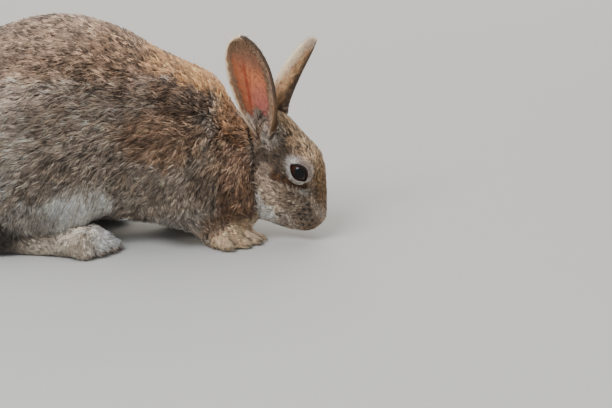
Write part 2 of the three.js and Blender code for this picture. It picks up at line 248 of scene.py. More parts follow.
# %% The head's frame
HEAD_PITCH = math.radians(60)
eye_centre = {side: (sum(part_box(f"eye_{side}"), Vector())) / 2 for side in SIDES}
EYE_RADIUS = (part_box("eye_right")[1].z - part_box("eye_right")[0].z) / 2
across = (eye_centre["left"] - eye_centre["right"]).normalized()
heading = across.cross(Vector((0, 0, 1))).normalized()
to_nose = heading * math.cos(HEAD_PITCH) - Vector((0, 0, math.sin(HEAD_PITCH)))
to_crown = to_nose.cross(across)
EYE_RISE = 1.7  # mm that the eyes' centres lie towards the crown
head_origin = (eye_centre["left"] + eye_centre["right"]) / 2 - to_crown * (EYE_RISE * MM)
head_axes = np.array([to_nose, across, to_crown])
print("eye radius", round(EYE_RADIUS / MM, 2), "mm")


def head_place(x, y, z):
    """A point of the head's frame, in millimetres, as a point in space."""
    return head_origin + (to_nose * x + across * y + to_crown * z) * MM


def in_head(points):
    """Points in space as millimetres in the head's frame."""
    return (points - np.array(head_origin)) @ head_axes.T / MM


# %% [markdown]
# ## The skin
#
# On the animal one skin runs over everything, so the solids of the flesh are copied, merged and remeshed
# into one closed surface. A voxel remesh closes the thin cuts between them. The facets are then ironed out,
# longest on the broad trunk and least on the toes, and the surface sinks by the depth of the coat, because
# the solids reach about to the tips of the hair. The feet sink less, since ironing already thins them.

# %% What the coat is like on each part
# depth: from the skin to the hair tips; length and width of a tuft, all in mm; crowd: how thickly the tufts
# stand, against the other parts; rounds of ironing for the skin under it
COAT = {
    "trunk": dict(depth=6.0, length=9.8, width=0.6, crowd=84, iron=70),
    "haunch": dict(depth=5.6, length=10.2, width=0.6, crowd=84, iron=60),
    "neck": dict(depth=5.4, length=8.6, width=0.56, crowd=90, iron=40),
    "tail": dict(depth=6.5, length=14.0, width=0.8, crowd=80, iron=20),
    "foreleg": dict(depth=3.6, length=8.0, width=0.62, crowd=96, iron=24),
    "forefoot": dict(depth=1.6, length=4.6, width=0.46, crowd=150, iron=2),
    "hindfoot": dict(depth=1.9, length=5.6, width=0.5, crowd=135, iron=3),
    "head": dict(depth=2.8, length=5.6, width=0.44, crowd=190, iron=14),
    "ear": dict(depth=0.7, length=3.8, width=0.4, crowd=130, iron=6),
}
EYES_AND_CLAWS = ("eye", "claw")
flesh_nodes = sorted(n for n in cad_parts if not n.startswith(EYES_AND_CLAWS))


def coat_of(node):
    """The coat's values on a node."""
    return COAT[node.split("_")[0]]


# %% Which solid is nearest to a point
corners, faces, face_owner = [], [], []
for number, node in enumerate(flesh_nodes):
    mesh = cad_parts[node].data
    start = len(corners)
    corners += [v.co.copy() for v in mesh.vertices]
    faces += [[start + i for i in p.vertices] for p in mesh.polygons]
    face_owner += [number] * len(mesh.polygons)
solids_tree = BVHTree.FromPolygons(corners, faces)


def nearest_solid(points):
    """The number of the flesh node nearest to each point."""
    return np.array([face_owner[solids_tree.find_nearest(p)[2]] for p in points])


def spread(values, links, rounds):
    """A copy of values, averaged with their neighbours'. rounds is one number, or one for each vertex."""
    values = values.copy()
    a, b = links.T
    size = len(values)
    shares = np.bincount(links.ravel(), minlength=size)
    columns = values.reshape(size, -1).T
    for step in range(int(np.max(rounds))):
        moved = np.broadcast_to(rounds, size) > step
        for column in columns:
            around = np.bincount(a, column[b], size) + np.bincount(b, column[a], size)
            column += np.where(moved, 0.5 * (around / shares - column), 0)
    return columns.T.reshape(values.shape)


def links_of(obj):
    """The edges of obj as pairs of vertex numbers."""
    pairs = np.empty(len(obj.data.edges) * 2, np.int32)
    obj.data.edges.foreach_get("vertices", pairs)
    return pairs.reshape(-1, 2)


def coat_value(key, owner, links, rounds=60):
    """One of the coat's values on every vertex, with soft changes from part to part."""
    steps = np.array([float(coat_of(flesh_nodes[i])[key]) for i in range(len(flesh_nodes))])
    return spread(steps[owner], links, rounds)


def part_share(kind, owner, links, rounds):
    """How far each vertex belongs to the parts whose name holds kind, from 0 to 1 with soft borders."""
    named = np.array([kind in node for node in flesh_nodes], float)
    return spread(named[owner], links, rounds)


# %% Join the copies and close the cuts
VOXEL = 1.6 * MM
copies = []
for node in [*[n for n in flesh_nodes if not n.startswith("ear")], "eye_right", "eye_left"]:
    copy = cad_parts[node].copy()
    copy.data = copy.data.copy()
    copy.parent = None
    bpy.context.scene.collection.objects.link(copy)
    copies.append(copy)
bpy.ops.object.select_all(action="DESELECT")
for copy in copies:
    copy.select_set(True)
bpy.context.view_layer.objects.active = copies[0]
bpy.ops.object.join()
skin = bpy.context.object
skin.name = "skin"
for key in [k for k in skin.keys() if k.startswith("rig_")]:
    del skin[key]
in_edit_mode(skin, lambda: bpy.ops.mesh.remove_doubles(threshold=0.01 * MM))
apply_modifier(skin, "REMESH", mode="VOXEL", voxel_size=VOXEL)
print("skin:", len(skin.data.polygons), "faces before it is shaped")

# %% Iron out the facets and sink the skin under the coat
owner = nearest_solid(points_of(skin))
links = links_of(skin)
iron = coat_value("iron", owner, links, 10).astype(int)
move_points(skin, spread(points_of(skin), links, iron))


def head_coat(points):
    """How much of the head's coat grows at points: all of it on the cheeks, little on the muzzle."""
    x, y, z = in_head(points).T
    near_nose = smoothstep(10, 44, x)
    around_eye = smoothstep(19, 9, np.sqrt(x**2 + (z - EYE_RISE) ** 2)) * smoothstep(12, 18, np.abs(y))
    longer_below = smoothstep(-18, -40, z) * smoothstep(35, 5, x)
    return (1 - 0.62 * near_nose) * (1 - 0.5 * around_eye) * (1 + 0.45 * longer_below)


FOLD_DEPTH = 2.6 * MM
CREASE_DEPTH = 2.2 * MM
FLUFF_DEPTH = 1.6 * MM  # how much less the knuckles of the hind toes sink
IRONED_AWAY = 0.9 * MM  # what ironing alone takes off a thin toe


def at_border(share):
    """1 where two parts have equal shares, and 0 well inside either of them."""
    return 4 * share * (1 - share)


def below_nape(points):
    """1 on the lower side of head and neck, and 0 over the nape."""
    return smoothstep(8, -8, in_head(points)[:, 2])


def neck_fold(on_head_, points):
    """1 along the fold between cheek and neck, and 0 off it and over the nape."""
    return at_border(on_head_) * below_nape(points)


def fold_shadow(on_head_, points):
    """1 in the shade under the cheek's edge, on the neck's side of the fold, and 0 off it."""
    return smoothstep(0.03, 0.2, on_head_) * smoothstep(0.75, 0.5, on_head_) * below_nape(points)


def foot_crease(on_hindfoot_, points):
    """1 in the crease between the hanging coat of the thigh and the top of the hind foot, and 0 off it."""
    return at_border(on_hindfoot_) * smoothstep(9, 14, points[:, 2] / MM)


def toe_fluff(points):
    """1 on the tufted knuckles of the hind toes, and 0 off them."""
    x, y, z = points.T / MM
    return np.exp(-(((x + 9) / 13) ** 2) - ((np.abs(y) - 50) / 13) ** 2 - ((z - 18) / 10) ** 2)


on_head = part_share("head", owner, links, 8)
depth = coat_value("depth", owner, links) * MM
depth *= 1 + on_head * (head_coat(points_of(skin)) - 1)
depth += FOLD_DEPTH * neck_fold(on_head, points_of(skin))
depth -= FLUFF_DEPTH * toe_fluff(points_of(skin))
depth += CREASE_DEPTH * foot_crease(part_share("hindfoot", owner, links, 8), points_of(skin))
depth -= IRONED_AWAY * part_share("foot", owner, links, 4)
move_points(skin, points_of(skin) - normals_of(skin) * depth[:, None])

# %% Press in the clefts between the toes
TOES = {  # degrees outwards; how far back the clefts run, in mm; how deep they are, as a share
    "forefoot": dict(heading=5, back=15, share=1.0),
    "hindfoot": dict(heading=6, back=9, share=0.6),
}
TOE_GROOVE = dict(half_width=1.3, depth=2.8)


def between_toes(points):
    """1 in the cleft between two toes, and 0 off it."""
    total = np.zeros(len(points))
    for foot, toes in TOES.items():
        for side, sign in SIDES.items():
            angle = math.radians(toes["heading"])
            ahead = np.array([math.cos(angle), sign * math.sin(angle), 0])
            aside = np.array([-ahead[1], ahead[0], 0])
            claws = [np.array(sum(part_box(f"claw_{foot[:4]}_{side}_{i}"), Vector()) / 2) for i in (1, 2, 3, 4)]
            for one, two in zip(claws, claws[1:]):
                offset = (points - (one + two) / 2) / MM
                near = np.exp(-((offset @ aside / TOE_GROOVE["half_width"]) ** 2))
                reach = offset @ ahead
                near *= smoothstep(-toes["back"] - 4, -toes["back"] + 4, reach) * smoothstep(9, 6, reach)
                total = np.maximum(total, toes["share"] * near * smoothstep(16, 12, offset[:, 2]))
    return total


groove = TOE_GROOVE["depth"] * MM * between_toes(points_of(skin))
move_points(skin, points_of(skin) - normals_of(skin) * groove[:, None])
apply_modifier(skin, "REMESH", mode="VOXEL", voxel_size=VOXEL)
apply_modifier(skin, "SMOOTH", factor=0.5, iterations=4)
print("skin:", len(skin.data.polygons), "faces, sunk by", round(float(depth.max() / MM), 1), "mm at most")

# %% [markdown]
# ## The ears
#
# An ear is a thin leaf of gristle, rolled to a tube at its root and open towards the tip. A flat grid is
# mapped to that leaf: across the grid runs round the roll, up the grid runs from root to tip. A Solidify
# modifier gives it its wall, and a boolean joins it to the skin, so that skin and ears are one surface.

# %% The two ears' sizes, from the solids they stand for
part_shift = Vector((0.0197, 0, 0))
EARS = {  # root, tip and the way the opening faces, and how the leaf bows, as in the solids
    "right": dict(root=(109, -17, 96), tip=(88, -36, 183), open=(-0.45, -1, 0), bow=(3.3, -1.2, 0), rear=1),
    "left": dict(root=(112.5, 5, 98), tip=(149, 36, 165), open=(-1, 0.2, 0.3), bow=(-2.5, 2, 0), rear=-1),
}
EAR_HALF_WIDTH = 25 * MM
EAR_WALL = 2.1 * MM
EAR_DIP = 0.14  # how far the leaf runs on below its root, into the head, as a share of its length
EAR_NARROWEST = 1.6 * MM  # from the middle of the leaf to its edge, at the tip
EAR_WAIST = dict(share=0.3, end=0.35)  # how much narrower the root is, and where along the ear that ends
EAR_CURL = dict(tip=52, root=90, fade=2.2)  # degrees round each half of the leaf, and what the root adds
EAR_COLUMNS, EAR_ROWS = 36, 72


def ear_point(ear, share, v):
    """The point of the leaf at share (-1 to 1) across and v (0 to 1) from the root to the tip."""
    up = ear["tip"] - ear["root"]
    facing = (ear["open"] - up * (ear["open"].dot(up) / up.length_squared)).normalized()
    sideways = facing.cross(up.normalized())
    rise = max(v, 0)
    waist = 1 - EAR_WAIST["share"] * max(1 - rise / EAR_WAIST["end"], 0) ** 2
    half = max(EAR_HALF_WIDTH * waist * math.sqrt(max(1 - rise**5, 0)), EAR_NARROWEST)
    curl = math.radians(EAR_CURL["tip"] + EAR_CURL["root"] * max(1 - rise, 0) ** EAR_CURL["fade"])
    radius = half / curl
    angle = share * curl
    ripple = 0.5 * MM * math.sin(9 * v + 2.5 * share) * abs(share) ** 3
    point = ear["root"] + up * v + ear["bow"] * math.sin(math.pi * rise)
    point += sideways * (radius * math.sin(angle))
    return point + facing * (radius * math.sin(curl) / curl - radius * math.cos(angle) + ripple)


# %% Model the leaves and join them to the skin
ear_place, ear_across, ear_along, ear_which = [], [], [], []
for side, ear in EARS.items():
    ear["root"] = Vector(ear["root"]) * MM + part_shift
    ear["tip"] = Vector(ear["tip"]) * MM + part_shift
    ear["open"] = Vector(ear["open"])
    ear["bow"] = Vector(ear["bow"]) * MM
    leaf = add_primitive("grid", x_subdivisions=EAR_COLUMNS, y_subdivisions=EAR_ROWS, size=2)
    for vertex in leaf.data.vertices:
        share, v = vertex.co.x, (1 + EAR_DIP) * (vertex.co.y + 1) / 2 - EAR_DIP
        vertex.co = ear_point(ear, share, v)
        ear_place.append(vertex.co.copy())
        ear_across.append(share * ear["rear"])
        ear_along.append(v)
        ear_which.append(side)
    apply_modifier(leaf, "SOLIDIFY", thickness=EAR_WALL, offset=0)
    in_edit_mode(leaf, lambda: bpy.ops.mesh.normals_make_consistent(inside=False))
    apply_modifier(skin, "BOOLEAN", object=leaf, operation="UNION", solver="MANIFOLD")
    bpy.data.objects.remove(leaf)
print("skin with ears:", len(skin.data.polygons), "faces")

# %% Where a point lies on an ear
ear_tree = KDTree(len(ear_place))
for i, place in enumerate(ear_place):
    ear_tree.insert(place, i)
ear_tree.balance()
ear_across, ear_along = np.array(ear_across), np.array(ear_along)
ear_facing = {}
for side, ear in EARS.items():
    up = (ear["tip"] - ear["root"]).normalized()
    ear_facing[side] = (ear["open"] - up * ear["open"].dot(up)).normalized()


def on_ear(points, normals):
    """For each point: how far across the nearest ear it lies (1 at the rear edge, -1 at the front one),
    how far along (0 to 1), whether it is on the hollow side, and how far from the leaf in mm."""
    found = [ear_tree.find(p) for p in points]
    index = np.array([f[1] for f in found])
    away = np.array([f[2] for f in found]) / MM
    leaf_point = np.array([f[0] for f in found])
    middle = np.empty_like(leaf_point)
    for side, ear in EARS.items():
        mine = np.array([ear_which[i] == side for i in index])
        up = np.array(ear["tip"] - ear["root"])
        axis = np.array(ear["root"]) + np.outer(ear_along[index], up)
        axis += np.outer(np.sin(np.pi * np.clip(ear_along[index], 0, 1)), np.array(ear["bow"]))
        axis += np.array(ear_facing[side]) * 6 * MM
        middle[mine] = axis[mine]
    hollow = np.einsum("ij,ij->i", normals, middle - leaf_point) > 0
    return ear_across[index], ear_along[index], hollow, away


# %% [markdown]
# ## Lids, nostrils and mouth
#
# The eye bulges from the side of the head, and the lids lie on it like a thin hood with an almond opening
# whose front corner runs down to the tear duct. A ball slightly larger than the eye is joined to the skin.
# The eye's own room and the almond are then cut out of it, which leaves the lids. The nostrils are two
# slanting slits, and the cleft of the lip runs down between them.

# %% Cutting and joining
LID_THICKNESS = 0.85 * MM
EYE_CLEARANCE = 0.12 * MM


def boolean(piece, operation):
    """Joins a piece to the skin or cuts it out, and deletes the piece."""
    in_edit_mode(piece, lambda: bpy.ops.mesh.normals_make_consistent(inside=False))
    apply_modifier(skin, "BOOLEAN", object=piece, operation=operation, solver="MANIFOLD")
    bpy.data.objects.remove(piece)


def ball(radius, place, scale=(1, 1, 1), turn=0.0, detail=4):
    """An icosphere in the head's frame, stretched along its axes and turned about the first of them."""
    obj = add_primitive("ico_sphere", subdivisions=detail, radius=radius)
    basis = Matrix((to_nose, across, to_crown)).transposed().to_4x4()
    turned = Matrix.Rotation(turn, 4, "X") @ Matrix.Diagonal((*scale, 1))
    obj.matrix_world = Matrix.Translation(place) @ basis @ turned
    return settle(obj, "cutter")


# %% The way each eye looks
GAZE_FORWARD, GAZE_UP = 0.08, 0.17
LID_TILT = math.radians(9.5)  # the front corner stands this much nearer to the crown than the rear one
gaze = {
    side: (across * sign + to_nose * GAZE_FORWARD + to_crown * GAZE_UP).normalized()
    for side, sign in SIDES.items()
}


def eye_axes(side):
    """The axes of the eye's opening: to its front corner, up the lids, and out along the gaze."""
    out = gaze[side]
    front = (to_nose - out * to_nose.dot(out)).normalized()
    front = Matrix.Rotation(LID_TILT * -SIDES[side], 3, out) @ front
    return front, out.cross(front) * -SIDES[side], out


# %% The almond opening
# from the middle of the eye, in mm; both corners droop a little below it
OPENING = dict(front=8.5, rear=8.7, upper=5.4, lower=5.5, droop=1.6)
# how strongly each quarter of the opening narrows towards its corner
NARROWING = {
    ("front", "upper"): 0.45, ("front", "lower"): 0.9, ("rear", "upper"): 0.4, ("rear", "lower"): 0.35,
}
OUTLINE_POINTS = 96
PRISM = dict(start=1.5, length=20)  # mm along the gaze, from the middle of the eye
FAR_AWAY, AROUND_EYE = 99.0, 28  # mm: given to points that are further from the eye than the second


def lid_outline():
    """The edge of the opening, as points along and up the lids, in mm."""
    outline = []
    for angle in np.linspace(0, 2 * math.pi, OUTLINE_POINTS, endpoint=False):
        end = "front" if math.cos(angle) > 0 else "rear"
        lid = "upper" if math.sin(angle) > 0 else "lower"
        along_lids = OPENING[end] * math.cos(angle)
        height = OPENING[lid] * math.sin(angle) * (1 - NARROWING[end, lid] * math.cos(angle) ** 2)
        outline.append((along_lids, height - OPENING["droop"] * (along_lids / 10) ** 2))
    return np.array(outline)


LID_EDGE = lid_outline()


def around_opening(side, points):
    """How far outside the opening each point lies in mm, the way out of it, and its place along and up the
    lids. Points far from the eye are given as FAR_AWAY."""
    front, up, out = (np.array(axis) for axis in eye_axes(side))
    offset = (points - np.array(eye_centre[side])) / MM
    flat = np.stack([offset @ front, offset @ up], 1)
    near = np.flatnonzero((offset @ out > 0) & (np.linalg.norm(flat, axis=1) < AROUND_EYE))
    from_edge = flat[near, None] - LID_EDGE[None]
    distance = np.linalg.norm(from_edge, axis=2)
    nearest = distance.argmin(1)
    outside = np.einsum("ij,ij->i", from_edge[np.arange(len(near)), nearest], LID_EDGE[nearest]) > 0
    away = np.full(len(points), FAR_AWAY)
    away[near] = distance.min(1) * np.where(outside, 1, -1)
    way = unit(flat)
    way[near] = unit(from_edge[np.arange(len(near)), nearest]) * np.where(outside, 1, -1)[:, None]
    return away, way[:, :1] * front + way[:, 1:] * up, flat


def almond(side):
    """A prism along the gaze whose section is the opening between the lids."""
    front, up, out = eye_axes(side)
    obj = add_primitive("circle", vertices=OUTLINE_POINTS, radius=1, fill_type="NGON")
    for vertex, (a, b) in zip(obj.data.vertices, LID_EDGE):
        vertex.co = eye_centre[side] + (front * float(a) + up * float(b)) * MM + out * PRISM["start"] * MM
    way = out * PRISM["length"] * MM
    in_edit_mode(obj, lambda: bpy.ops.mesh.extrude_region_move(TRANSFORM_OT_translate={"value": way}))
    return obj


# %% Lids
for side in SIDES:
    boolean(ball(EYE_RADIUS + LID_THICKNESS, eye_centre[side], detail=5), "UNION")
crease = np.array([min((Vector(p) - c).length for c in eye_centre.values()) for p in points_of(skin)])
near_lid = smoothstep(2.4 * MM, 0.6 * MM, np.abs(crease - EYE_RADIUS - LID_THICKNESS))
move_points(skin, spread(points_of(skin), links_of(skin), np.rint(5 * near_lid).astype(int)))
for side in SIDES:
    boolean(almond(side), "DIFFERENCE")
    boolean(ball(EYE_RADIUS + EYE_CLEARANCE, eye_centre[side], detail=5), "DIFFERENCE")
print("skin with lids:", len(skin.data.polygons), "faces")

# %% Nostrils, the cleft of the lip and the line of the mouth
SLITS = [  # a nostril and half the mouth: place in the head's frame and half sizes in mm, turn in degrees
    ((51.2, 4.4, -12.2), (4.2, 0.75, 3.0), -38),
    ((43, 5.0, -31.5), (8.0, 6.0, 0.7), -20),
]
for sign in SIDES.values():
    for (x, y, z), half_sizes, turn in SLITS:
        slit = ball(1 * MM, head_place(x, y * sign, z), half_sizes, turn=math.radians(turn) * sign)
        boolean(slit, "DIFFERENCE")
boolean(ball(1 * MM, head_place(50.3, 0, -20.5), (3.4, 0.6, 6.5)), "DIFFERENCE")
in_edit_mode(
    skin,
    lambda: bpy.ops.mesh.remove_doubles(threshold=0.02 * MM),
    lambda: bpy.ops.mesh.quads_convert_to_tris(),
)
select_only(skin)
bpy.ops.object.shade_smooth()
print("skin:", len(skin.data.polygons), "triangles")

# %% [markdown]
# ## An unwrap for the skin
#
# The skin is laid out flat once. Each tuft later takes a tiny patch of that layout at its own root, so that
# skin and coat share one chart of colour.

# %% Unwrap
skin.data.uv_layers.new(name="OFBake")
in_edit_mode(skin, lambda: bpy.ops.uv.smart_project(angle_limit=math.radians(66), island_margin=0.001))
print("unwrapped:", skin.data.uv_layers.active.name)

# %% Skin arrays that the coat is grown from
skin_points, skin_normals, skin_links = points_of(skin), normals_of(skin), links_of(skin)
skin.data.calc_loop_triangles()
triangles = np.empty(len(skin.data.loop_triangles) * 3, np.int32)
skin.data.loop_triangles.foreach_get("vertices", triangles)
triangles = triangles.reshape(-1, 3)
triangle_loops = np.empty(len(triangles) * 3, np.int32)
skin.data.loop_triangles.foreach_get("loops", triangle_loops)
loop_uv = np.empty(len(skin.data.loops) * 2, np.float32)
skin.data.uv_layers["OFBake"].uv.foreach_get("vector", loop_uv)
triangle_uv = loop_uv.reshape(-1, 2)[triangle_loops].reshape(-1, 3, 2)
skin_owner = nearest_solid(skin_points)
owner_is = {
    kind: part_share(kind, skin_owner, skin_links, 6) for kind in ("head", "forefoot", "hindfoot", "tail")
}
print("skin area", round(sum(p.area for p in skin.data.polygons) * 1e4), "square cm")

# %% [markdown]
# ## Markings
#
# A wild rabbit is agouti: each hair is grey at its root, buff or rufous in its middle and often black at its
# tip, which gives a grey-brown coat full of ticks. The nape is rufous, the belly, throat and the ring round
# the eye are whitish, and the tail is dark above and white below. The markings are painted as soft patches,
# one over the other, on one function that skin and coat share. Under the jaw, on the hocks and at the heels
# the patches also hold painted shade.

# %% The coat's colours
COLOURS = {
    name: linear(code)
    for name, code in dict(
        back="#ad8e74", side="#d1baa4", brown="#957559", grey_brown="#b3a08c", dark_brown="#705540",
        shoulder="#bd9a7c", rufous="#c9945f", deep_rufous="#98704e", chest="#a27d60", neck_side="#cda588",
        white="#fff6e8", grey_white="#dcd0c2", cheek="#ad967e", cheek_rear="#5e4b37", forehead="#ad8d6a",
        bridge="#886947", under_eye="#5c3d20", muzzle="#826b54", jaw="#857a6e", ring="#d6cbc0",
        streak="#b9b0a6", foot="#deccb6", fore_foot="#f5cda2", pad="#9a7355", haunch="#e6d3be",
        toe="#fbf4ea", hock="#63584f", dark="#3b2f27", black="#1a1410", root_grey="#6c645e",
        # the ears' tan, gold and cream are lifted above the hair's own, as painted light shining through the
        # ears; the orange-red of the hollow's skin is painted glow of that light
        ear_root="#b5a797", ear_edge="#8c6c50", ear_tan="#ffdfba", ear_gold="#e4b080", ear_dark="#664829",
        ear_cream="#ffe4be", ear_tip="#dcc3ae", ear_band="#c4a88a", ear_skin="#d8835a", ear_deep="#a65c39",
        ear_pink="#b66863", ear_throat="#a3907f", vein="#98371f", ear_tip_skin="#7d5b48", lid="#17100c",
        lid_pink="#a98f7f", nose_skin="#6a5348",
    ).items()
}

# centre and radii in mm, the colour, how black the tips are, and how strongly it covers; the same on
# both sides of the body
BODY_PATCHES = [
    ((-60, 0, 176), (150, 84, 62), "back", 0.62, 0.95),
    ((-44, 60, 124), (78, 38, 27), "side", 0.44, 0.95),
    ((24, 0, 165), (46, 60, 20), "brown", 0.6, 0.8),
    ((16, 56, 136), (16, 18, 10), "dark_brown", 0.65, 0.6),
    ((48, 58, 102), (40, 40, 22), "shoulder", 0.45, 0.9),
    ((100, 40, 80), (18, 30, 30), "shoulder", 0.5, 0.9),
    ((70, 38, 132), (36, 34, 18), "dark_brown", 0.65, 0.85),
    ((-92, 64, 98), (36, 30, 38), "haunch", 0.25, 0.7),
    ((62, 0, 152), (36, 30, 18), "rufous", 0.4, 0.7),
    ((82, 0, 139), (26, 26, 17), "rufous", 0.3, 0.9),
    ((98, 0, 122), (18, 24, 20), "rufous", 0.3, 0.9),
    ((103, 20, 107), (17, 20, 15), "deep_rufous", 0.5, 0.95),
    ((104, 34, 74), (14, 26, 25), "neck_side", 0.45, 0.85),
    ((86, 36, 120), (15, 14, 8), "dark_brown", 0.75, 0.7),
    ((110, 20, 97), (15, 18, 12), "deep_rufous", 0.65, 0.85),
    ((106, 0, 40), (30, 50, 36), "chest", 0.45, 0.9),
    ((76, 44, 64), (12, 20, 16), "dark_brown", 0.5, 0.5),
    ((-40, 0, 10), (125, 36, 22), "white", 0.05, 1.0),
    ((-24, 54, 44), (46, 26, 25), "grey_white", 0.15, 0.6),
    ((-25, 54, 42), (38, 24, 18), "white", 0.05, 1.0),
    # low on the flank between the feet: painted shade near the ground, in the hock's colour
    ((28, 44, 24), (40, 24, 12), "hock", 0.3, 0.8),
    ((58, 40, 30), (26, 30, 12), "grey_white", 0.25, 0.4),
    ((84, 40, 24), (16, 18, 12), "brown", 0.4, 0.7),
    # the hock's own darker fur, deepened as painted shade near the ground
    ((-92, 60, 24), (34, 26, 17), "hock", 0.6, 0.95),
    ((-64, 62, 38), (22, 20, 18), "grey_white", 0.2, 0.8),
    ((-150, 0, 40), (30, 40, 34), "grey_white", 0.1, 0.6),
    ((-104, 66, 66), (28, 24, 28), "grey_white", 0.3, 0.8),
]
TAIL_PATCHES = [
    ((-160, 0, 84), (26, 20, 32), "dark", 0.9, 1.0),
    ((-172, 0, 76), (17, 16, 26), "white", 0.0, 1.0),
]
HEAD_PATCHES = [
    ((-20, 26, -20), (30, 18, 28), "cheek_rear", 0.45, 0.9),
    ((-12, 0, 16), (58, 26, 20), "forehead", 0.5, 0.9),
    ((26, 0, 8), (30, 16, 14), "bridge", 0.45, 0.85),
    ((8, 26, -26), (26, 16, 14), "cheek", 0.3, 0.95),
    ((26, 20, -10), (14, 12, 9), "cheek", 0.25, 0.7),
    ((42, 9, -17), (15, 12, 10), "muzzle", 0.45, 0.9),
    ((52, 0, -6), (9, 8, 9), "cheek", 0.15, 0.7),
    # the underside of the jaw: greyish white fur, darkened as painted shade under the chin
    ((18, 0, -50), (50, 32, 15), "jaw", 0.05, 0.95),
    ((19, 20, -46), (24, 17, 11), "white", 0.02, 0.7),
    ((-46, 22, -22), (12, 18, 16), "deep_rufous", 0.6, 0.7),
    ((-34, 20, -4), (10, 16, 12), "ear_root", 0.4, 0.6),
    ((17, 20, -5), (9, 8, 3.2), "streak", 0.05, 0.8),
]
# x and z on the face, in mm: where the whiskers stand, and a few darker locks
SPOTS = [
    (31, -9), (35.5, -10.5), (40, -12), (44.5, -13), (33, -13.5), (37.5, -15), (42, -16.5), (46.5, -17.5),
    (35, -18.5), (39.5, -20), (44, -21.5),
]
TICKS = [
    (-20, -9), (-5, -15), (-15, 9), (-27, 7), (-9, 14), (-31, -12), (-29, 3.5), (-26, 2), (-22.5, 0.5),
    (-19, -1),
]


def wander(points, size, seed=0.0):
    """A soft random value from about -1 to 1 that changes over `size` millimetres."""
    scaled = points / (size * MM) + seed
    return np.array([noise.noise(p) for p in scaled]) * 1.6


def paint(colour, tick, points, patches, wobble, mirror_y):
    """Lays soft patches over colour and tick. points are in mm."""
    for centre, radii, name, black, cover in patches:
        x, y, z = points.T
        away = np.stack([x, np.abs(y) if mirror_y else y, z], 1) - centre
        edge = np.linalg.norm(away / radii, axis=1) + 0.16 * wobble
        weight = cover * smoothstep(1.2, 0.75, edge)
        colour += weight[:, None] * (COLOURS[name] - colour)
        tick += weight * (black - tick)


# %% The markings of any point of the skin
# the pale ring round the eye: its least width, and (towards, over how many degrees, how much wider), where
# 0 degrees is the front corner, 90 the crown and 180 the ear
RING_WIDTH = 1.9
RING_WIDER = [(160, 34, 3.0), (-170, 30, 1.6), (0, 26, 1.8), (70, 34, 1.2)]


def turned_from(angle, middle):
    """How many degrees each angle lies from the middle one."""
    return np.abs((angle - middle + 180) % 360 - 180)


def eye_marks(points, wobble):
    """How much of the pale ring round the eye covers each point."""
    ring = np.zeros(len(points))
    for side in SIDES:
        away, _, flat = around_opening(side, points)
        away = away + 0.5 * wobble
        angle = np.degrees(np.arctan2(flat[:, 1], flat[:, 0]))
        broad = RING_WIDTH + sum(
            more * np.exp(-((turned_from(angle, towards) / over) ** 2)) for towards, over, more in RING_WIDER
        )
        ring = np.maximum(ring, smoothstep(broad + 2.8, broad - 1.6, away))
    return ring


# the rusty streaks under the eye: x and z of both ends on the face, half the width in mm, and their cover
FACE_LINES = [
    ((14.5, -3.5), (-5, -17), 3.0, 1.0), ((21, -11), (10, -18), 1.4, 0.5), ((-6, -15), (-15, -17), 1.2, 0.5),
    ((24, -17), (14, -23), 1.2, 0.4), ((-14, 0), (-19, 5), 1.4, 0.6),
]


def near_line(face, start, end, half_width):
    """1 on a short line drawn on the face, and 0 off it."""
    start, way_on = np.array(start), np.subtract(end, start)
    offset = face[:, [0, 2]] - start
    share = np.clip(offset @ way_on / (way_on @ way_on), 0, 1)
    away = np.linalg.norm(offset - share[:, None] * way_on, axis=1)
    return smoothstep(half_width * 1.5, half_width * 0.6, away) * smoothstep(6, 9, np.abs(face[:, 1]))


def near_spots(face, spots, radius):
    """1 on small round spots of the face, given by their x and z, and 0 off them."""
    total = np.zeros(len(face))
    for x, z in spots:
        away = np.hypot(face[:, 0] - x, face[:, 2] - z)
        total = np.maximum(total, smoothstep(radius * 1.3, radius * 0.6, away))
    return total * smoothstep(6, 9, np.abs(face[:, 1]))


FORE_FEET_FROM = 40 * MM  # the x that parts the hind feet from the fore feet


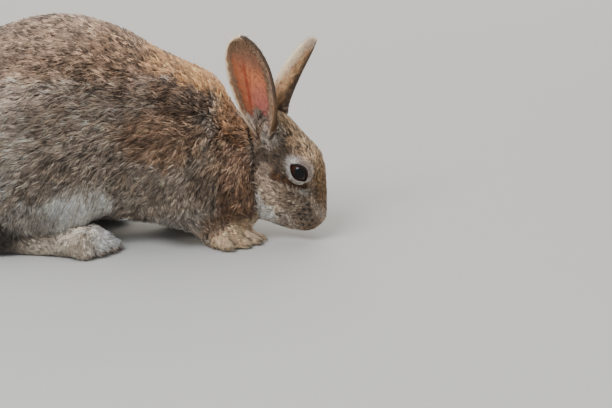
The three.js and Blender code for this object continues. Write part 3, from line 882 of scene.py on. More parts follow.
def markings(points, share_of):
    """The colour of the hair's middle and how black its tip is, at points on the skin. Under the jaw, on the
    hocks and at the heels it holds painted shade.
    """
    size = len(points)
    wobble = wander(points, 9)
    colour = np.tile(COLOURS["grey_brown"], (size, 1))
    tick = np.full(size, 0.5)
    paint(colour, tick, points / MM, BODY_PATCHES, wobble, True)
    tail_colour, tail_tick = colour.copy(), tick.copy()
    paint(tail_colour, tail_tick, points / MM, TAIL_PATCHES, wobble, False)
    head_colour, head_tick = colour.copy(), tick.copy()
    face = in_head(points)
    paint(head_colour, head_tick, face, HEAD_PATCHES, wobble, True)
    ring = eye_marks(points, wobble)
    for weight, name, black in (
        *((cover * near_line(face, *line), "under_eye", 0.5) for *line, cover in FACE_LINES),
        (0.88 * ring, "ring", 0.0),
        (0.85 * ring * smoothstep(3, 8, face[:, 2]), "lid_pink", 0.0),
        (0.9 * near_spots(face, SPOTS, 1.5), "black", 1.0),
        (0.75 * near_spots(face, TICKS, 1.9), "dark", 1.0),
    ):
        head_colour += weight[:, None] * (COLOURS[name] - head_colour)
        head_tick += weight * (black - head_tick)
    foot = np.tile(COLOURS["foot"], (size, 1)) * (1 + 0.1 * wander(points, 6, 9.0))[:, None]
    toes = smoothstep(-24, -6, points[:, 0] / MM) * (points[:, 0] < FORE_FEET_FROM)
    toes += 0.05 * smoothstep(104, 118, points[:, 0] / MM)
    foot += (points[:, 0] > FORE_FEET_FROM)[:, None] * 0.8 * (COLOURS["fore_foot"] - foot)
    foot += toes[:, None] * (COLOURS["toe"] - foot)
    low = smoothstep(10, 5, points[:, 2] / MM) * toes
    foot += 0.8 * low[:, None] * (COLOURS["pad"] - foot)
    # the heel darkens towards the back, as painted shade on the ground under the haunch
    heel = smoothstep(-62, -92, points[:, 0] / MM)
    foot += heel[:, None] * (COLOURS["hock"] - foot)
    for weight, over_colour, over_tick in (
        (share_of["tail"], tail_colour, tail_tick),
        (share_of["head"], head_colour, head_tick),
        (share_of["forefoot"] + share_of["hindfoot"], foot, 0.12),
    ):
        weight = np.clip(weight, 0, 1)
        colour += weight[:, None] * (over_colour - colour)
        tick += weight * (over_tick - tick)
    return np.clip(colour, 0, 1), np.clip(tick, 0, 1)


def laid_over(colour, *layers):
    """Colours with layers of (weight, colour name) put over them, one after the other."""
    for weight, name in layers:
        colour = colour + np.asarray(weight)[:, None] * (COLOURS[name] - colour)
    return colour


def hairless(across_, along):
    """How bare the hollow of an ear is: bare in the middle, hairy on both edges, at the tip and in the
    throat of the ear, where the hair stands highest in the middle."""
    front_limit = np.clip(0.25 + 0.7 * (along - 0.4), 0.22, 0.5) * smoothstep(1.0, 0.66, along)
    bare = smoothstep(0.88, 0.7, across_) * smoothstep(-front_limit - 0.16, -front_limit + 0.1, across_)
    out_of_throat = smoothstep(0.0, 0.12, along + 0.7 * np.abs(across_ - 0.33) - 0.22)
    return bare * smoothstep(0.93, 0.8, along) * out_of_throat


VEIN_BRANCHES = [(0.36, -0.7), (0.5, 0.6), (0.6, -0.7), (0.72, 0.5)]  # where along the ear, and their lean


def ear_markings(across_, along, wobble):
    """Colour and tick of the hair on the ear's back, colour of the hair in its hollow, and of its skin, whose
    orange-red is painted glow of the light shining through the ear.
    """
    size = len(across_)
    straight = across_
    across_ = across_ + 0.06 * wobble
    top = smoothstep(0.8, 0.92, along)
    rear_rim = smoothstep(0.945, 0.99, across_)
    rear_rim += smoothstep(0.95, 0.975, along) * smoothstep(-0.6, -0.2, across_)
    rear_rim = np.clip(rear_rim, 0, 1) * (0.45 + 0.55 * smoothstep(0.25, 0.5, along))
    rear_rim *= smoothstep(0.08, 0.3, along)
    front_rim = smoothstep(-0.84, -0.95, across_)
    front_rim += smoothstep(0.93, 0.97, along) * smoothstep(-0.3, -0.7, across_)
    dark_rim = 0.8 * np.clip(front_rim, 0, 1) * smoothstep(0.3, 0.5, along)
    shifted = across_ + 0.5 * (along - 0.55)  # the pale side widens towards the tip
    back = laid_over(
        np.tile(COLOURS["ear_dark"], (size, 1)),
        (smoothstep(0.2, 0.6, shifted), "ear_gold"),
        (smoothstep(0.6, 0.9, shifted), "ear_tan"),
        (0.85 * smoothstep(0.46, 0.08, along), "ear_dark"),
        (0.8 * top * smoothstep(-0.1, 0.2, across_), "ear_tip"),
        (smoothstep(0.9, 0.98, across_) * smoothstep(0.2, 0.45, along), "ear_cream"),
        (rear_rim, "ear_cream"),
        (dark_rim, "dark"),
    )
    tick = 0.8 * smoothstep(0.95, 0.3, shifted) + 0.08
    tick *= 1 - 0.8 * top * smoothstep(-0.1, 0.1, across_)
    hollow_hair = laid_over(
        np.tile(COLOURS["ear_edge"], (size, 1)),
        (0.1 * smoothstep(0.7, 0.86, across_), "ear_band"),
        (0.8 * smoothstep(0.3, 0.16, along) * smoothstep(-0.3, 0.0, across_), "ear_throat"),
        (rear_rim, "ear_cream"),
        (dark_rim, "dark"),
    )
    from_vein = straight - 0.62 + 0.38 * along
    vein = smoothstep(0.07, 0.02, np.abs(from_vein)) * smoothstep(0.2, 0.34, along)
    for start, lean in VEIN_BRANCHES:
        branch = np.abs(from_vein - lean * (along - start))
        reached = (along > start) * (along < start + 0.3)
        vein = np.maximum(vein, 0.45 * smoothstep(0.06, 0.015, branch) * reached)
    streak = 0.5 + 0.5 * np.sin(34 * straight + 4 * wobble + 5 * along)
    # the hollow's skin, with its veins: its orange-red is painted glow of the light shining through the ear
    skin_ = laid_over(
        np.tile(COLOURS["ear_skin"], (size, 1)),
        (0.45 * streak, "ear_deep"),
        (0.8 * smoothstep(0.35, 0.7, across_), "ear_deep"),
        (0.8 * smoothstep(0.6, 0.25, along) * smoothstep(0.75, 0.15, across_), "ear_pink"),
        (0.85 * vein * smoothstep(0.95, 0.7, along), "vein"),
        (0.9 * smoothstep(0.56, 0.84, along - 0.22 * across_ + 0.05), "ear_tip_skin"),
        (0.85 * (1 - hairless(across_, along)), "ear_edge"),
        (0.8 * smoothstep(0.3, 0.16, along) * (1 - hairless(across_, along)), "ear_throat"),
        (0.6 * rear_rim, "ear_cream"),
        (dark_rim, "dark"),
    )
    return back, np.clip(tick, 0, 1), hollow_hair, skin_


# %% Paint the skin
ROOT_ROUNDS = 14
skin_colour, _ = markings(skin_points, owner_is)
across_, along, hollow, away = on_ear(skin_points, skin_normals)
ear_colour, _, _, ear_skin = ear_markings(across_, along, wander(skin_points, 5))
is_ear = smoothstep(6.0, 2.5, away) * smoothstep(0.0, 0.1, along)
skin_colour += is_ear[:, None] * (ear_colour - skin_colour)
inner = is_ear * hollow
# the skin shows its hair's colour darkened, as painted shade under the coat, with a little grey underfur; less
# darkened on the ears, as painted light shining through them
shaded_skin_colour = skin_colour * (0.55 + 0.35 * is_ear[:, None]) + 0.12 * COLOURS["root_grey"]
# the ear's hollow shows its skin, coloured with the painted glow of light shining through the ear
shaded_skin_colour += inner[:, None] * (ear_skin - shaded_skin_colour)
by_eye = {side: around_opening(side, skin_points) for side in SIDES}
lid_margin = np.min([away for away, _, _ in by_eye.values()], axis=0)
# the dark rim round the opening: the lids' own dark margin, widened on the upper lid by painted shade
on_upper_lid = [smoothstep(0, 5, flat[:, 1]) * (away < FAR_AWAY) for away, _, flat in by_eye.values()]
rim_and_shade_width = 0.9 + 0.8 * np.max(on_upper_lid, axis=0)
lid_height = np.min([np.linalg.norm(skin_points - np.array(c), axis=1) for c in eye_centre.values()], axis=0)
on_lid = smoothstep(EYE_RADIUS + 2.6 * MM, EYE_RADIUS + 1.6 * MM, lid_height)
shaded_skin_colour = laid_over(shaded_skin_colour, (on_lid * smoothstep(rim_and_shade_width + 0.3, rim_and_shade_width - 0.2, lid_margin), "lid"))
face = in_head(skin_points)
nostril = smoothstep(7.0, 4.0, np.linalg.norm((face - (52, 0, -14)) / (1, 1, 1.3), axis=1))
shaded_skin_colour = laid_over(shaded_skin_colour, (nostril, "nose_skin"))
# from here on the points are those of a smoother skin: the roots stand on it, a little off the real one
skin_points = spread(skin_points, skin_links, ROOT_ROUNDS)
# painted shade on the skin in the neck fold, the clefts between the toes and the crease above the hind foot
for shade in (
    fold_shadow(owner_is["head"], skin_points),
    between_toes(skin_points),
    foot_crease(owner_is["hindfoot"], skin_points),
):
    shaded_skin_colour *= (1 - 0.7 * shade)[:, None]


def store_colour(obj, name, colours):
    """Keeps a colour for each vertex in an attribute."""
    attribute = obj.data.attributes.new(name, "FLOAT_COLOR", "POINT")
    rgba = np.ones((len(colours), 4), np.float32)
    rgba[:, :3] = colours
    attribute.data.foreach_set("color", rgba.ravel())


store_colour(skin, "markings", shaded_skin_colour)

# %% [markdown]
# ## Skin and coat materials
#
# Rabbit fur scatters light softly: it has almost no gloss, and a faint sheen where the hairs turn away.
# The colour comes from the markings, with painted shade and light laid in, broken by fine streaks about as
# wide as a lock of hair.

# %% Skin under the coat
skin_material, skin_output = new_material("rabbit skin and underfur")
marks_and_shade = add_node(skin_material, "ShaderNodeAttribute", attribute_name="markings")
place = add_node(skin_material, "ShaderNodeTexCoord")
grain = add_node(
    skin_material, "ShaderNodeTexNoise", [("Vector", place, "Object")], Scale=1 / (1.2 * MM), Detail=3.0
)
relief = add_node(
    skin_material, "ShaderNodeBump", [("Height", grain, "Fac")], Strength=0.35, Distance=0.4 * MM
)
shader = add_node(
    skin_material, "ShaderNodeBsdfPrincipled", [("Base Color", marks_and_shade, "Color"), ("Normal", relief, "Normal")],
    Roughness=0.75, Specular_IOR_Level=0.25,
)
skin.data.materials.clear()
skin.data.materials.append(finish_material(skin_material, skin_output, shader))

# %% Coat
coat_material, coat_output = new_material("agouti rabbit fur")
marks_and_shade = add_node(coat_material, "ShaderNodeAttribute", attribute_name="markings")
place = add_node(coat_material, "ShaderNodeTexCoord")
streaks = add_node(
    coat_material, "ShaderNodeTexNoise", [("Vector", place, "Object")], Scale=1 / (2.2 * MM), Detail=2.0
)
brightness = add_node(
    coat_material, "ShaderNodeMapRange", [("Value", streaks, "Fac")],
    From_Min=0.3, From_Max=0.7, To_Min=0.82, To_Max=1.16,
)
tinted = add_node(
    coat_material, "ShaderNodeVectorMath", [(0, marks_and_shade, "Color"), ("Scale", brightness, "Result")],
    operation="SCALE",
)
shader = add_node(
    coat_material, "ShaderNodeBsdfPrincipled", [("Base Color", tinted, "Vector")],
    Roughness=0.62, Specular_IOR_Level=0.25, Sheen_Weight=0.15, Sheen_Roughness=0.5,
)
finish_material(coat_material, coat_output, shader)

# %% [markdown]
# ## Combing
#
# Hair points the way it was stroked: from the nose back over the head, along the spine to the tail, down and
# back on the flanks, and down each leg to the toes. A few strokes of the comb are laid on the body, and every
# tuft follows the strokes near its root.

# %% Strokes of the comb
# place in mm and direction; those of the body are mirrored to the other side
BODY_STROKES = [
    ((95, 0, 112), (-0.6, 0, 0.7)), ((70, 0, 142), (-0.85, 0, 0.45)), ((30, 0, 168), (-1, 0, 0.25)),
    ((-50, 0, 194), (-1, 0, 0)), ((-110, 0, 178), (-1, 0, -0.4)), ((-150, 0, 140), (-0.6, 0, -0.8)),
    ((-160, 0, 100), (-0.3, 0, -1)), ((90, 36, 95), (-0.7, 0, -0.35)), ((60, 48, 120), (-0.95, 0, -0.15)),
    ((20, 56, 140), (-1, 0, -0.05)), ((-50, 55, 160), (-1, 0, -0.1)), ((-110, 50, 140), (-0.95, 0, -0.35)),
    ((95, 38, 60), (-0.45, 0.1, -0.85)), ((60, 55, 85), (-0.8, 0, -0.55)), ((20, 60, 100), (-0.9, 0, -0.4)),
    ((-40, 62, 110), (-0.97, 0, -0.25)), ((-90, 68, 100), (-0.93, 0, -0.35)),
    ((-130, 60, 80), (-0.8, 0, -0.6)),
    ((-30, 62, 60), (-0.7, 0, -0.7)), ((-70, 68, 62), (-0.75, 0, -0.65)), ((-110, 66, 55), (-0.55, 0, -0.8)),
    ((-60, 66, 34), (-0.4, 0.1, -0.9)), ((-36, 60, 40), (-0.15, 0.1, -1)), ((-90, 66, 30), (-0.3, 0.1, -1)),
    ((-125, 60, 34), (-0.2, 0.1, -1)),
    ((20, 55, 55), (-0.7, 0, -0.7)), ((45, 55, 45), (-0.3, 0, -0.95)), ((75, 38, 24), (0.6, 0, -0.75)),
    ((108, 25, 14), (1, 0, -0.25)), ((-60, 47, 22), (1, 0, -0.12)), ((0, 47, 12), (1, 0, -0.35)),
    ((-120, 45, 16), (0.9, 0, -0.2)), ((112, 0, 40), (-0.2, 0, -1)), ((80, 0, 14), (-1, 0, -0.1)),
    ((0, 0, 20), (-1, 0, 0)), ((-80, 0, 20), (-1, 0, 0)), ((-140, 30, 40), (-0.7, 0, -0.6)),
    ((-172, 0, 85), (-0.25, 0, 1)), ((-10, 56, 36), (-0.4, 0, -0.9)),
]
HEAD_STROKES = [
    ((54, 0, -10), (-0.5, 0, 0.9)), ((45, 0, 0), (-1, 0, 0.3)), ((22, 0, 9), (-1, 0, 0.15)),
    ((0, 0, 18), (-1, 0, 0)), ((-30, 0, 11), (-1, 0, -0.2)), ((46, 12, -18), (-1, 0.5, -0.1)),
    ((32, 18, -16), (-1, 0.3, -0.2)), ((22, 22, -2), (-1, 0.2, 0.15)), ((10, 20, 13), (-0.9, 0.1, 0.5)),
    ((-8, 22, 14), (-1, 0, 0.2)), ((-18, 26, 2), (-1, 0, -0.1)), ((12, 28, -18), (-1, 0, -0.25)),
    ((-8, 30, -22), (-0.95, 0, -0.35)), ((-26, 20, -24), (-0.9, 0, -0.5)), ((36, 10, -40), (-1, 0.1, -0.3)),
    ((14, 18, -46), (-1, 0, -0.3)), ((-6, 18, -48), (-0.9, 0, -0.5)), ((20, 0, -54), (-1, 0, -0.1)),
    ((44, 0, -34), (-1, 0, -0.4)),
]


def with_mirror(strokes):
    """The strokes and their mirror images across the midline."""
    places = np.array([p for p, _ in strokes], float)
    ways = unit(np.array([w for _, w in strokes], float))
    flip = np.array([1, -1, 1])
    return np.vstack([places, places * flip]), np.vstack([ways, ways * flip])


STROKE_CORE = 6  # mm within which a stroke pulls no harder


def combed(points, strokes):
    """The direction of the comb at points, both in mm."""
    places, ways = with_mirror(strokes)
    total = np.zeros_like(points)
    for place_, way in zip(places, ways):
        near = np.sum((points - place_) ** 2, axis=1) + STROKE_CORE**2
        total += way / near[:, None] ** 2
    return unit(total)


# %% Roots, spread over the skin
TUFT_TOTAL = 244_000
length_at = coat_value("length", skin_owner, skin_links)
width_at = coat_value("width", skin_owner, skin_links)
depth_at = coat_value("depth", skin_owner, skin_links)
crowd_at = coat_value("crowd", skin_owner, skin_links, 12)
head_share = head_coat(skin_points)
length_at *= 1 + owner_is["head"] * (head_share - 1)
depth_at *= 1 + owner_is["head"] * (head_share - 1)
width_at *= 1 + owner_is["head"] * 0.4 * (head_share - 1)
crowd_at *= 1 + owner_is["head"] * 0.5 * (1 - head_share)

bald = on_lid * smoothstep(rim_and_shade_width, rim_and_shade_width - 0.4, lid_margin)
for centre in eye_centre.values():
    bald = np.maximum(bald, np.linalg.norm(skin_points - np.array(centre), axis=1) < EYE_RADIUS + 0.5 * MM)
bald = np.maximum(bald, nostril)
bald = np.maximum(bald, 0.9 * inner * hairless(across_, along))
crowd_at *= 1 - bald

edge_a = skin_points[triangles[:, 1]] - skin_points[triangles[:, 0]]
edge_b = skin_points[triangles[:, 2]] - skin_points[triangles[:, 0]]
area = np.linalg.norm(np.cross(edge_a, edge_b), axis=1) / 2
crowd = area * crowd_at[triangles].mean(1)
running = np.cumsum(crowd)
spots = (np.arange(TUFT_TOTAL) + rng.random(TUFT_TOTAL)) * running[-1] / TUFT_TOTAL
host = np.minimum(np.searchsorted(running, spots), len(triangles) - 1)
r1, r2 = np.sqrt(rng.random(TUFT_TOTAL)), rng.random(TUFT_TOTAL)
weights = np.stack([1 - r1, r1 * (1 - r2), r1 * r2], 1)


def at_roots(values):
    """A value of the skin's vertices, read at the roots."""
    picked = values[triangles[host]]
    return np.einsum("ij,ij...->i...", weights, picked)


root, normal = at_roots(skin_points), unit(at_roots(skin_normals))
root_uv = np.einsum("ij,ijk->ik", weights, triangle_uv[host])
print("tufts:", TUFT_TOTAL, "or", round(TUFT_TOTAL / (area.sum() * 1e4)), "on a square cm")

# %% Gather tufts into locks
# one tuft in so many leads a lock; locks are smaller on the head and the feet
LOCK, SMALL_LOCK = 7, 5
share_at_root = {kind: at_roots(values) for kind, values in owner_is.items()}
in_small = share_at_root["head"] + share_at_root["forefoot"] + share_at_root["hindfoot"] > 0.5
number = np.arange(TUFT_TOTAL)
leaders = np.flatnonzero(np.where(in_small, number % SMALL_LOCK == 0, number % LOCK == 0))
leader_tree = KDTree(len(leaders))
for i, leader in enumerate(leaders):
    leader_tree.insert(root[leader], i)
leader_tree.balance()
lock = np.array([leader_tree.find(p)[1] for p in root])
lead = leaders[lock]
lock_turn = rng.standard_normal(len(leaders))
lock_tone = rng.standard_normal(len(leaders))
print("locks:", len(leaders))

# %% Lay the tufts along the strokes
root_colour, root_tick = markings(root, share_at_root)
white_coat = smoothstep(0.3, 0.08, root_tick) * (1 - share_at_root["head"])
white_coat *= share_at_root["hindfoot"] < 0.3
flow = combed(root / MM, BODY_STROKES)
head_flow = combed(in_head(root), HEAD_STROKES) @ head_axes
flow = unit(flow + share_at_root["head"][:, None] * (head_flow - flow))
for side in SIDES:
    gap, outward, _ = around_opening(side, root)
    close = 0.85 * smoothstep(6.0, 1.5, gap) * (gap < 30)
    flow = unit(flow + close[:, None] * (outward - flow))
near_ear = np.flatnonzero(at_roots(is_ear) > 0.001)
ear_here, root_across, root_along = np.zeros(TUFT_TOTAL), np.zeros(TUFT_TOTAL), np.zeros(TUFT_TOTAL)
root_hollow = np.zeros(TUFT_TOTAL, bool)
found_across, found_along, found_hollow, found_away = on_ear(root[near_ear], normal[near_ear])
root_across[near_ear], root_along[near_ear], root_hollow[near_ear] = found_across, found_along, found_hollow
ear_here[near_ear] = smoothstep(6.0, 2.5, found_away) * smoothstep(0.0, 0.08, found_along)
for side, ear in EARS.items():
    up = (ear["tip"] - ear["root"]).normalized()
    mine = near_ear[np.array([ear_which[ear_tree.find(p)[1]] == side for p in root[near_ear]])]
    over_edge = np.array(ear_facing[side].cross(up)) * ear["rear"]
    lean = np.sign(root_across[mine]) * 0.9 * smoothstep(0.86, 1.0, np.abs(root_across[mine]))
    ear_flow = unit(np.array(up) + lean[:, None] * over_edge)
    flow[mine] = unit(flow[mine] + ear_here[mine, None] * (ear_flow - flow[mine]))
flow -= normal * np.einsum("ij,ij->i", flow, normal)[:, None]
flow = unit(flow)
sideways = np.cross(normal, flow)
turn = 0.45 * wander(root, 9, 5.0) + 0.3 * lock_turn[lock] + 0.16 * rng.standard_normal(TUFT_TOTAL)
turn *= (1 - 0.6 * ear_here) * (1 - 0.55 * white_coat)
flow = flow * np.cos(turn)[:, None] + sideways * np.sin(turn)[:, None]
sideways = np.cross(normal, flow)

# %% Size of each tuft
vary = np.exp(0.18 * rng.standard_normal(TUFT_TOTAL))
length = at_roots(length_at) * MM * vary
width = at_roots(width_at) * MM * np.exp(0.2 * rng.standard_normal(TUFT_TOTAL))
height = at_roots(depth_at) * MM * rng.uniform(0.3, 1.12, TUFT_TOTAL)
inner_root = ear_here * root_hollow
ear_base = smoothstep(0.3, 0.08, root_along)
bareness = hairless(root_across, root_along)
length = np.where(inner_root > 0.5, (3.0 - 1.2 * bareness + 6.0 * ear_base) * MM * vary, length)
height = np.where(inner_root > 0.5, (0.4 + 2.2 * ear_base) * MM, height)
fold = neck_fold(share_at_root["head"], root)
cleft = between_toes(root)
fluff = toe_fluff(root) * share_at_root["hindfoot"]
length = length * (1 - 0.6 * fold - 0.4 * cleft + 0.35 * white_coat) + 3.0 * MM * fluff
height = height * (1 - 0.5 * fold - 0.6 * cleft) + 3.6 * MM * fluff * (0.4 + 0.6 * rng.random(TUFT_TOTAL))
sole = smoothstep(-0.75, -0.95, normal[:, 2]) * smoothstep(6 * MM, 3 * MM, root[:, 2])
height *= 1 - 0.6 * sole
height = np.minimum(height, 0.8 * length)
forward = np.sqrt(length**2 - height**2)

# %% Bend the tufts towards the tips of their locks
tip = root + flow * forward[:, None] + normal * height[:, None]
pull = np.clip(0.32 + 0.15 * rng.standard_normal(TUFT_TOTAL), 0, 0.8)
pull *= smoothstep(14 * MM, 6 * MM, np.linalg.norm(root - root[lead], axis=1)) * (1 - 0.7 * ear_here)
tip += pull[:, None] * (tip[lead] + (root - root[lead]) * 0.25 - tip)
middle = root + 0.42 * (tip - root) + normal * (0.42 * height)[:, None]
FLOOR_CLEARANCE = 0.25 * MM
for points in (root, middle, tip):
    points[:, 2] = np.maximum(points[:, 2], FLOOR_CLEARANCE)

# %% Colour of each tuft
ear_colour, ear_tick, ear_hair, _ = ear_markings(
    root_across[near_ear], root_along[near_ear], wander(root[near_ear], 5)
)
cover = ear_here[near_ear, None]
inside = root_hollow[near_ear, None]
root_colour[near_ear] += cover * (np.where(inside, ear_hair, ear_colour) - root_colour[near_ear])
inside_tick = 0.1 + 0.5 * smoothstep(-0.1, -0.4, root_across[near_ear])
root_tick[near_ear] += cover[:, 0] * (np.where(inside[:, 0], inside_tick, ear_tick) - root_tick[near_ear])

lock_shade = 0.75 * lock_tone[lock] + 0.45 * wander(root, 7.0, 3.0) + 0.4 * rng.standard_normal(TUFT_TOTAL)
# how much the tone changes from lock to lock
lively = (0.55 + 1.05 * root_tick + 0.2 * share_at_root["head"]) * (1 - 0.5 * ear_here)
black_tip = smoothstep(0.45, 1.15, root_tick + 0.42 * lock_shade)
pale_tip = smoothstep(0.1, 1.4, -lock_shade) * smoothstep(0.0, 0.3, root_tick)
hue = 1 + 0.07 * rng.standard_normal(TUFT_TOTAL)[:, None] * np.array([1.0, 0.6, 0.1])
tone = np.exp(-0.24 * lively * lock_shade)
middle_colour = root_colour * hue * (tone * (1 + 0.2 * pale_tip - 0.2 * black_tip))[:, None]
tip_colour = middle_colour * (1.12 + 0.25 * pale_tip)[:, None]
tip_colour += 0.9 * black_tip[:, None] * (COLOURS["black"] * 1.2 - tip_colour)
# the bases are grey as the hairs' roots are, kept lighter on the ears as painted light shining through them
base_colour = (0.4 + 0.4 * ear_here[:, None]) * root_colour * tone[:, None] + 0.2 * COLOURS["root_grey"]
# painted shade on the tufts in the neck fold, the clefts between the toes and the crease above the hind foot
shaded = (1 - 0.8 * fold_shadow(share_at_root["head"], root)) * (1 - 0.75 * cleft)
shaded *= 1 - 0.6 * foot_crease(share_at_root["hindfoot"], root)
for colours in (base_colour, middle_colour, tip_colour):
    colours *= shaded[:, None]

# %% [markdown]
# ## Growing the coat
#
# A tuft is a slim spike with a ridge along its back: it leaves the skin, bends over and lies along the coat.
# Hundreds of thousands of them would be slow as separate objects, so each part of the body gets one mesh, or
# a few, that hold all of its tufts, written straight from arrays.

# %% One mesh of many tufts
# the corners of a tuft: left and right of the root, on top of it, on the ridge halfway, and the tip
SPIKE = np.array([(0, 1, 2), (0, 2, 3), (0, 3, 4), (1, 3, 2), (1, 4, 3), (0, 4, 1)])
PATCH_SIZE = 0.003  # of the whole chart
PATCH = PATCH_SIZE * np.array([(0, 0), (1, 0), (0.5, 0.3), (0.5, 0.65), (0.5, 1)])


def coat_mesh(name, pick):
    """A mesh of the picked tufts, with its colours and its OFBake map."""
    count, half = len(pick), width[pick, None] / 2
    aside, lift = half * sideways[pick], half * normal[pick]
    below = root[pick] - 0.25 * lift
    ridge = [root[pick] + 0.5 * lift, middle[pick] + 0.4 * lift]
    vertices = np.stack([below + aside, below - aside, *ridge, tip[pick]], 1)
    vertices[..., 2] = np.maximum(vertices[..., 2], FLOOR_CLEARANCE / 2)
    corners_ = (SPIKE[None] + 5 * np.arange(count)[:, None, None]).reshape(-1)
    mesh = bpy.data.meshes.new(name)
    mesh.vertices.add(count * 5)
    mesh.vertices.foreach_set("co", vertices.astype(np.float32).ravel())
    mesh.loops.add(len(corners_))
    mesh.loops.foreach_set("vertex_index", corners_.astype(np.int32))
    mesh.polygons.add(count * len(SPIKE))
    mesh.polygons.foreach_set("loop_start", np.arange(0, len(corners_), 3, dtype=np.int32))
    mesh.polygons.foreach_set("use_smooth", np.ones(count * len(SPIKE), bool))
    mesh.update(calc_edges=True)
    obj = bpy.data.objects.new(name, mesh)
    bpy.context.scene.collection.objects.link(obj)
    bands = [base_colour[pick]] * 3 + [middle_colour[pick], tip_colour[pick]]
    store_colour(obj, "markings", np.clip(np.stack(bands, 1), 0, 1).reshape(-1, 3))
    uv = root_uv[pick][:, None, :] * (1 - PATCH_SIZE) + PATCH[SPIKE.reshape(-1)][None]
    mesh.uv_layers.new(name="OFBake").uv.foreach_set("vector", uv.astype(np.float32).ravel())
    mesh.materials.append(coat_material)
    return obj


# %% Part the coat by the solids it grows on
MOST_TUFTS = 30_000  # in one piece
root_owner = skin_owner[triangles[host, np.argmax(weights, axis=1)]]
for number, node in enumerate(flesh_nodes):
    grown_here = np.flatnonzero(root_owner == number)
    slices = max(math.ceil(len(grown_here) / MOST_TUFTS), 1)
    grown_here = grown_here[np.argsort(-root[grown_here, 0])]  # from the nose to the tail
    for count, pick in enumerate(np.array_split(grown_here, slices), 1):
        piece = coat_mesh(f"coat_{node}" + (f"_{count}" if slices > 1 else ""), pick)
        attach(piece, "root")
        print(piece.name, len(piece.data.polygons), "triangles")

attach(skin, "root")
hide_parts(*flesh_nodes)

# %% [markdown]
# ## The eyes
#
# A rabbit's eye is a large dark ball. The iris fills nearly all of the opening, dark brown with fine spokes,
# round a black pupil, and the clear cornea stands out a little in front of it.

# %% Eyeballs
CORNEA_RISE = 0.6 * MM
CORNEA_EDGE, CORNEA_TOP = 7.4 * MM, 3.4 * MM  # from the axis: where the bulge starts, and where it is full
eyes = {}
for side in SIDES:
    front, up, out = eye_axes(side)
    eye = add_primitive("uv_sphere", segments=64, ring_count=40, radius=EYE_RADIUS)
    basis = Matrix((front, up, out)).transposed()
    from_axis = []
    for vertex in eye.data.vertices:
        aside = math.hypot(vertex.co.x, vertex.co.y)
        from_axis.append(aside if vertex.co.z > 0 else EYE_RADIUS)
        if vertex.co.z > 0:
            vertex.co *= 1 + (CORNEA_RISE / EYE_RADIUS) * float(smoothstep(CORNEA_EDGE, CORNEA_TOP, aside))
        vertex.co = eye_centre[side] + basis @ vertex.co
    in_edit_mode(eye, lambda: bpy.ops.mesh.normals_make_consistent(inside=False))
    attribute = eye.data.attributes.new("from_axis", "FLOAT", "POINT")
    attribute.data.foreach_set("value", np.array(from_axis, np.float32) / MM)
    select_only(eye)
    bpy.ops.object.shade_smooth()
    eyes[side] = settle(eye, f"eyeball_{side}")

# %% Eye material
IRIS_BANDS = [  # from the pupil to the edge, as a share of the way, and the colour
    (0.0, "#020202"), (0.40, "#030202"), (0.46, "#1c0f08"), (0.60, "#2e180c"), (0.80, "#34190f"),
    (0.92, "#2c110b"), (0.97, "#0d0504"), (1.0, "#120a08"),
]
for side, eye in eyes.items():
    eye_material, eye_output = new_material(f"glass eye, dark brown, {side}")
    distance = add_node(eye_material, "ShaderNodeAttribute", attribute_name="from_axis")
    place = add_node(eye_material, "ShaderNodeTexCoord")
    spokes = add_node(
        eye_material, "ShaderNodeTexNoise", [("Vector", place, "Object")], Scale=1 / (0.9 * MM), Detail=4.0
    )
    rough_edge = add_node(
        eye_material, "ShaderNodeMath", [(0, spokes, "Fac"), (2, distance, "Fac")], operation="MULTIPLY_ADD"
    )
    rough_edge.inputs[1].default_value = 0.9
    scaled = add_node(
        eye_material, "ShaderNodeMapRange", [("Value", rough_edge, 0)], From_Min=0.45, From_Max=9.9
    )
    zones = add_node(eye_material, "ShaderNodeValToRGB", [("Fac", scaled, "Result")])
    ramp = zones.color_ramp
    while len(ramp.elements) < len(IRIS_BANDS):
        ramp.elements.new(0.5)
    for element, (position, code) in zip(ramp.elements, IRIS_BANDS):
        element.position = position
        element.color = (*linear(code), 1)
    shader = add_node(
        eye_material, "ShaderNodeBsdfPrincipled", [("Base Color", zones, "Color")], Roughness=0.11, IOR=1.36,
        Specular_IOR_Level=0.4,
    )
    eye.data.materials.append(finish_material(eye_material, eye_output, shader))
    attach(eye, "root")
    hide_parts(f"eye_{side}")

# %% [markdown]
# ## Claws
#
# Each claw is a curved spike of dark horn that grows out of the bone of its toe. A thin cylinder is cut into
# rings, narrowed towards one end and bent along a line from inside the toe to the tip of the solid claw.

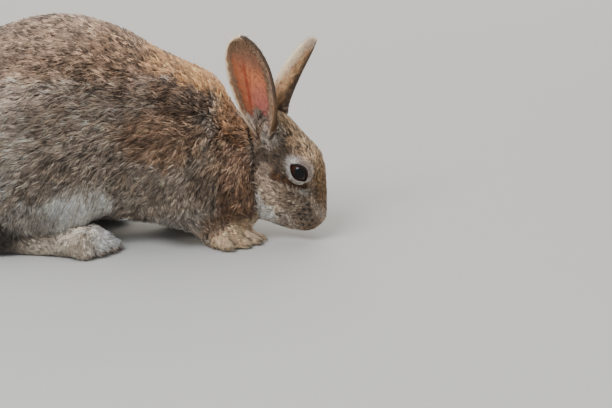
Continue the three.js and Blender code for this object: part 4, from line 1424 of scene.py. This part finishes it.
# %% Claws
claw_material, claw_output = new_material("dark horn claw")
place = add_node(claw_material, "ShaderNodeTexCoord")
grain = add_node(
    claw_material, "ShaderNodeTexNoise", [("Vector", place, "Object")], Scale=1 / (1.5 * MM), Detail=2.0
)
tone = add_node(claw_material, "ShaderNodeValToRGB", [("Fac", grain, "Fac")])
tone.color_ramp.elements[0].color = (*linear("#2b211b"), 1)
tone.color_ramp.elements[1].color = (*linear("#6d5a4a"), 1)
shader = add_node(
    claw_material, "ShaderNodeBsdfPrincipled", [("Base Color", tone, "Color")], Roughness=0.38, IOR=1.54
)
finish_material(claw_material, claw_output, shader)
HORN = dict(rings=7, radius=1.25 * MM, tip_radius=0.2 * MM, rooted=5.5 * MM, bow=0.7 * MM)
ROOT_SHARE = 0.35  # of the solid claw's points, those nearest to the toe
for node in sorted(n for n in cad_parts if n.startswith("claw")):
    place_ = points_of(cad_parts[node])
    main = np.linalg.svd(place_ - place_.mean(0))[2][0]
    main *= np.sign(main[0])
    reach = place_ @ main
    tip_, base = place_[reach.argmax()], place_[reach < np.quantile(reach, ROOT_SHARE)].mean(0)
    start = base - main * HORN["rooted"]
    horn = add_primitive("cylinder", vertices=10, radius=1, depth=1, end_fill_type="TRIFAN")
    in_edit_mode(horn, lambda: bpy.ops.mesh.subdivide(number_cuts=HORN["rings"]))
    round_x, round_y, t = points_of(horn).T
    t = t + 0.5
    one = unit(np.cross(main, (0, 0, 1)))
    radius = HORN["tip_radius"] + (HORN["radius"] - HORN["tip_radius"]) * (1 - t) ** 0.7
    spine = start + t[:, None] * (tip_ - start) + np.outer(4 * t * (1 - t), (0, 0, HORN["bow"]))
    spine += radius[:, None] * (round_x[:, None] * one + round_y[:, None] * np.cross(one, main))
    spine[:, 2] = np.maximum(spine[:, 2], 0.1 * MM)
    move_points(horn, spine)
    in_edit_mode(horn, lambda: bpy.ops.mesh.normals_make_consistent(inside=False))
    bpy.ops.object.shade_smooth()
    settle(horn, node.replace("claw", "horn"))
    horn.data.materials.append(claw_material)
    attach(horn, "root")
    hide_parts(node)

# %% [markdown]
# ## Whiskers
#
# Fine pale bristles stand in rows on the whisker pad and sweep back and down past the cheek.

# %% Whiskers
RINGS, CORNERS = 9, 4
BRISTLE = dict(length=22, longer=9, rooted=1.5, radius=0.07, tip_radius=0.02)  # mm
bristle_material, bristle_output = new_material("pale whisker bristle")
shader = add_node(
    bristle_material, "ShaderNodeBsdfPrincipled", Base_Color=(*linear("#8f867a"), 1), Roughness=0.5, IOR=1.5
)
finish_material(bristle_material, bristle_output, shader)
skin_tree = BVHTree.FromPolygons([Vector(p) for p in skin_points], [tuple(t) for t in triangles.tolist()])
for side, sign in SIDES.items():
    places, quads = [], []
    for number, (x, z) in enumerate(SPOTS):
        start = head_place(x, 40 * sign, z)
        hit = skin_tree.ray_cast(start, -across * sign)[0]
        down = 0.25 + 0.1 * math.sin(5 * number)
        way = (across * sign * 1.1 - to_nose * 0.5 - to_crown * down).normalized()
        reach = (BRISTLE["length"] + BRISTLE["longer"] * ((number * 0.37) % 1)) * MM
        sag = -to_nose * 0.3 - Vector((0, 0, 0.35))
        one, two = way.orthogonal().normalized(), way.cross(way.orthogonal()).normalized()
        base = len(places)
        for ring in range(RINGS):
            t = ring / (RINGS - 1)
            middle_ = hit + way * (reach * t - BRISTLE["rooted"] * MM) + sag * reach * t * t * 0.5
            radius = (BRISTLE["radius"] * (1 - t) + BRISTLE["tip_radius"]) * MM
            for k in range(CORNERS):
                angle = 2 * math.pi * k / CORNERS
                places.append(middle_ + one * radius * math.cos(angle) + two * radius * math.sin(angle))
        for ring in range(RINGS - 1):
            first = base + ring * CORNERS
            for k in range(CORNERS):
                a, b = first + k, first + (k + 1) % CORNERS
                quads.append((a, b, b + CORNERS, a + CORNERS))
        quads.append(tuple(base + k for k in reversed(range(CORNERS))))
        quads.append(tuple(base + (RINGS - 1) * CORNERS + k for k in range(CORNERS)))
    mesh = bpy.data.meshes.new(f"whiskers_{side}")
    mesh.from_pydata(places, [], quads)
    bristles = bpy.data.objects.new(f"whiskers_{side}", mesh)
    bpy.context.scene.collection.objects.link(bristles)
    mesh.materials.append(bristle_material)
    in_edit_mode(bristles, lambda: bpy.ops.mesh.normals_make_consistent(inside=False))
    bpy.ops.object.shade_smooth()
    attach(bristles, "root")
print("whiskers:", 2 * len(SPOTS))

# %% Sizes, for comparison with the frame
size = {"cad": cad_box, "visual": [list(corner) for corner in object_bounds()]}
print("boxes in mm:", [[round(c / MM, 1) for corner in box for c in corner] for box in size.values()])
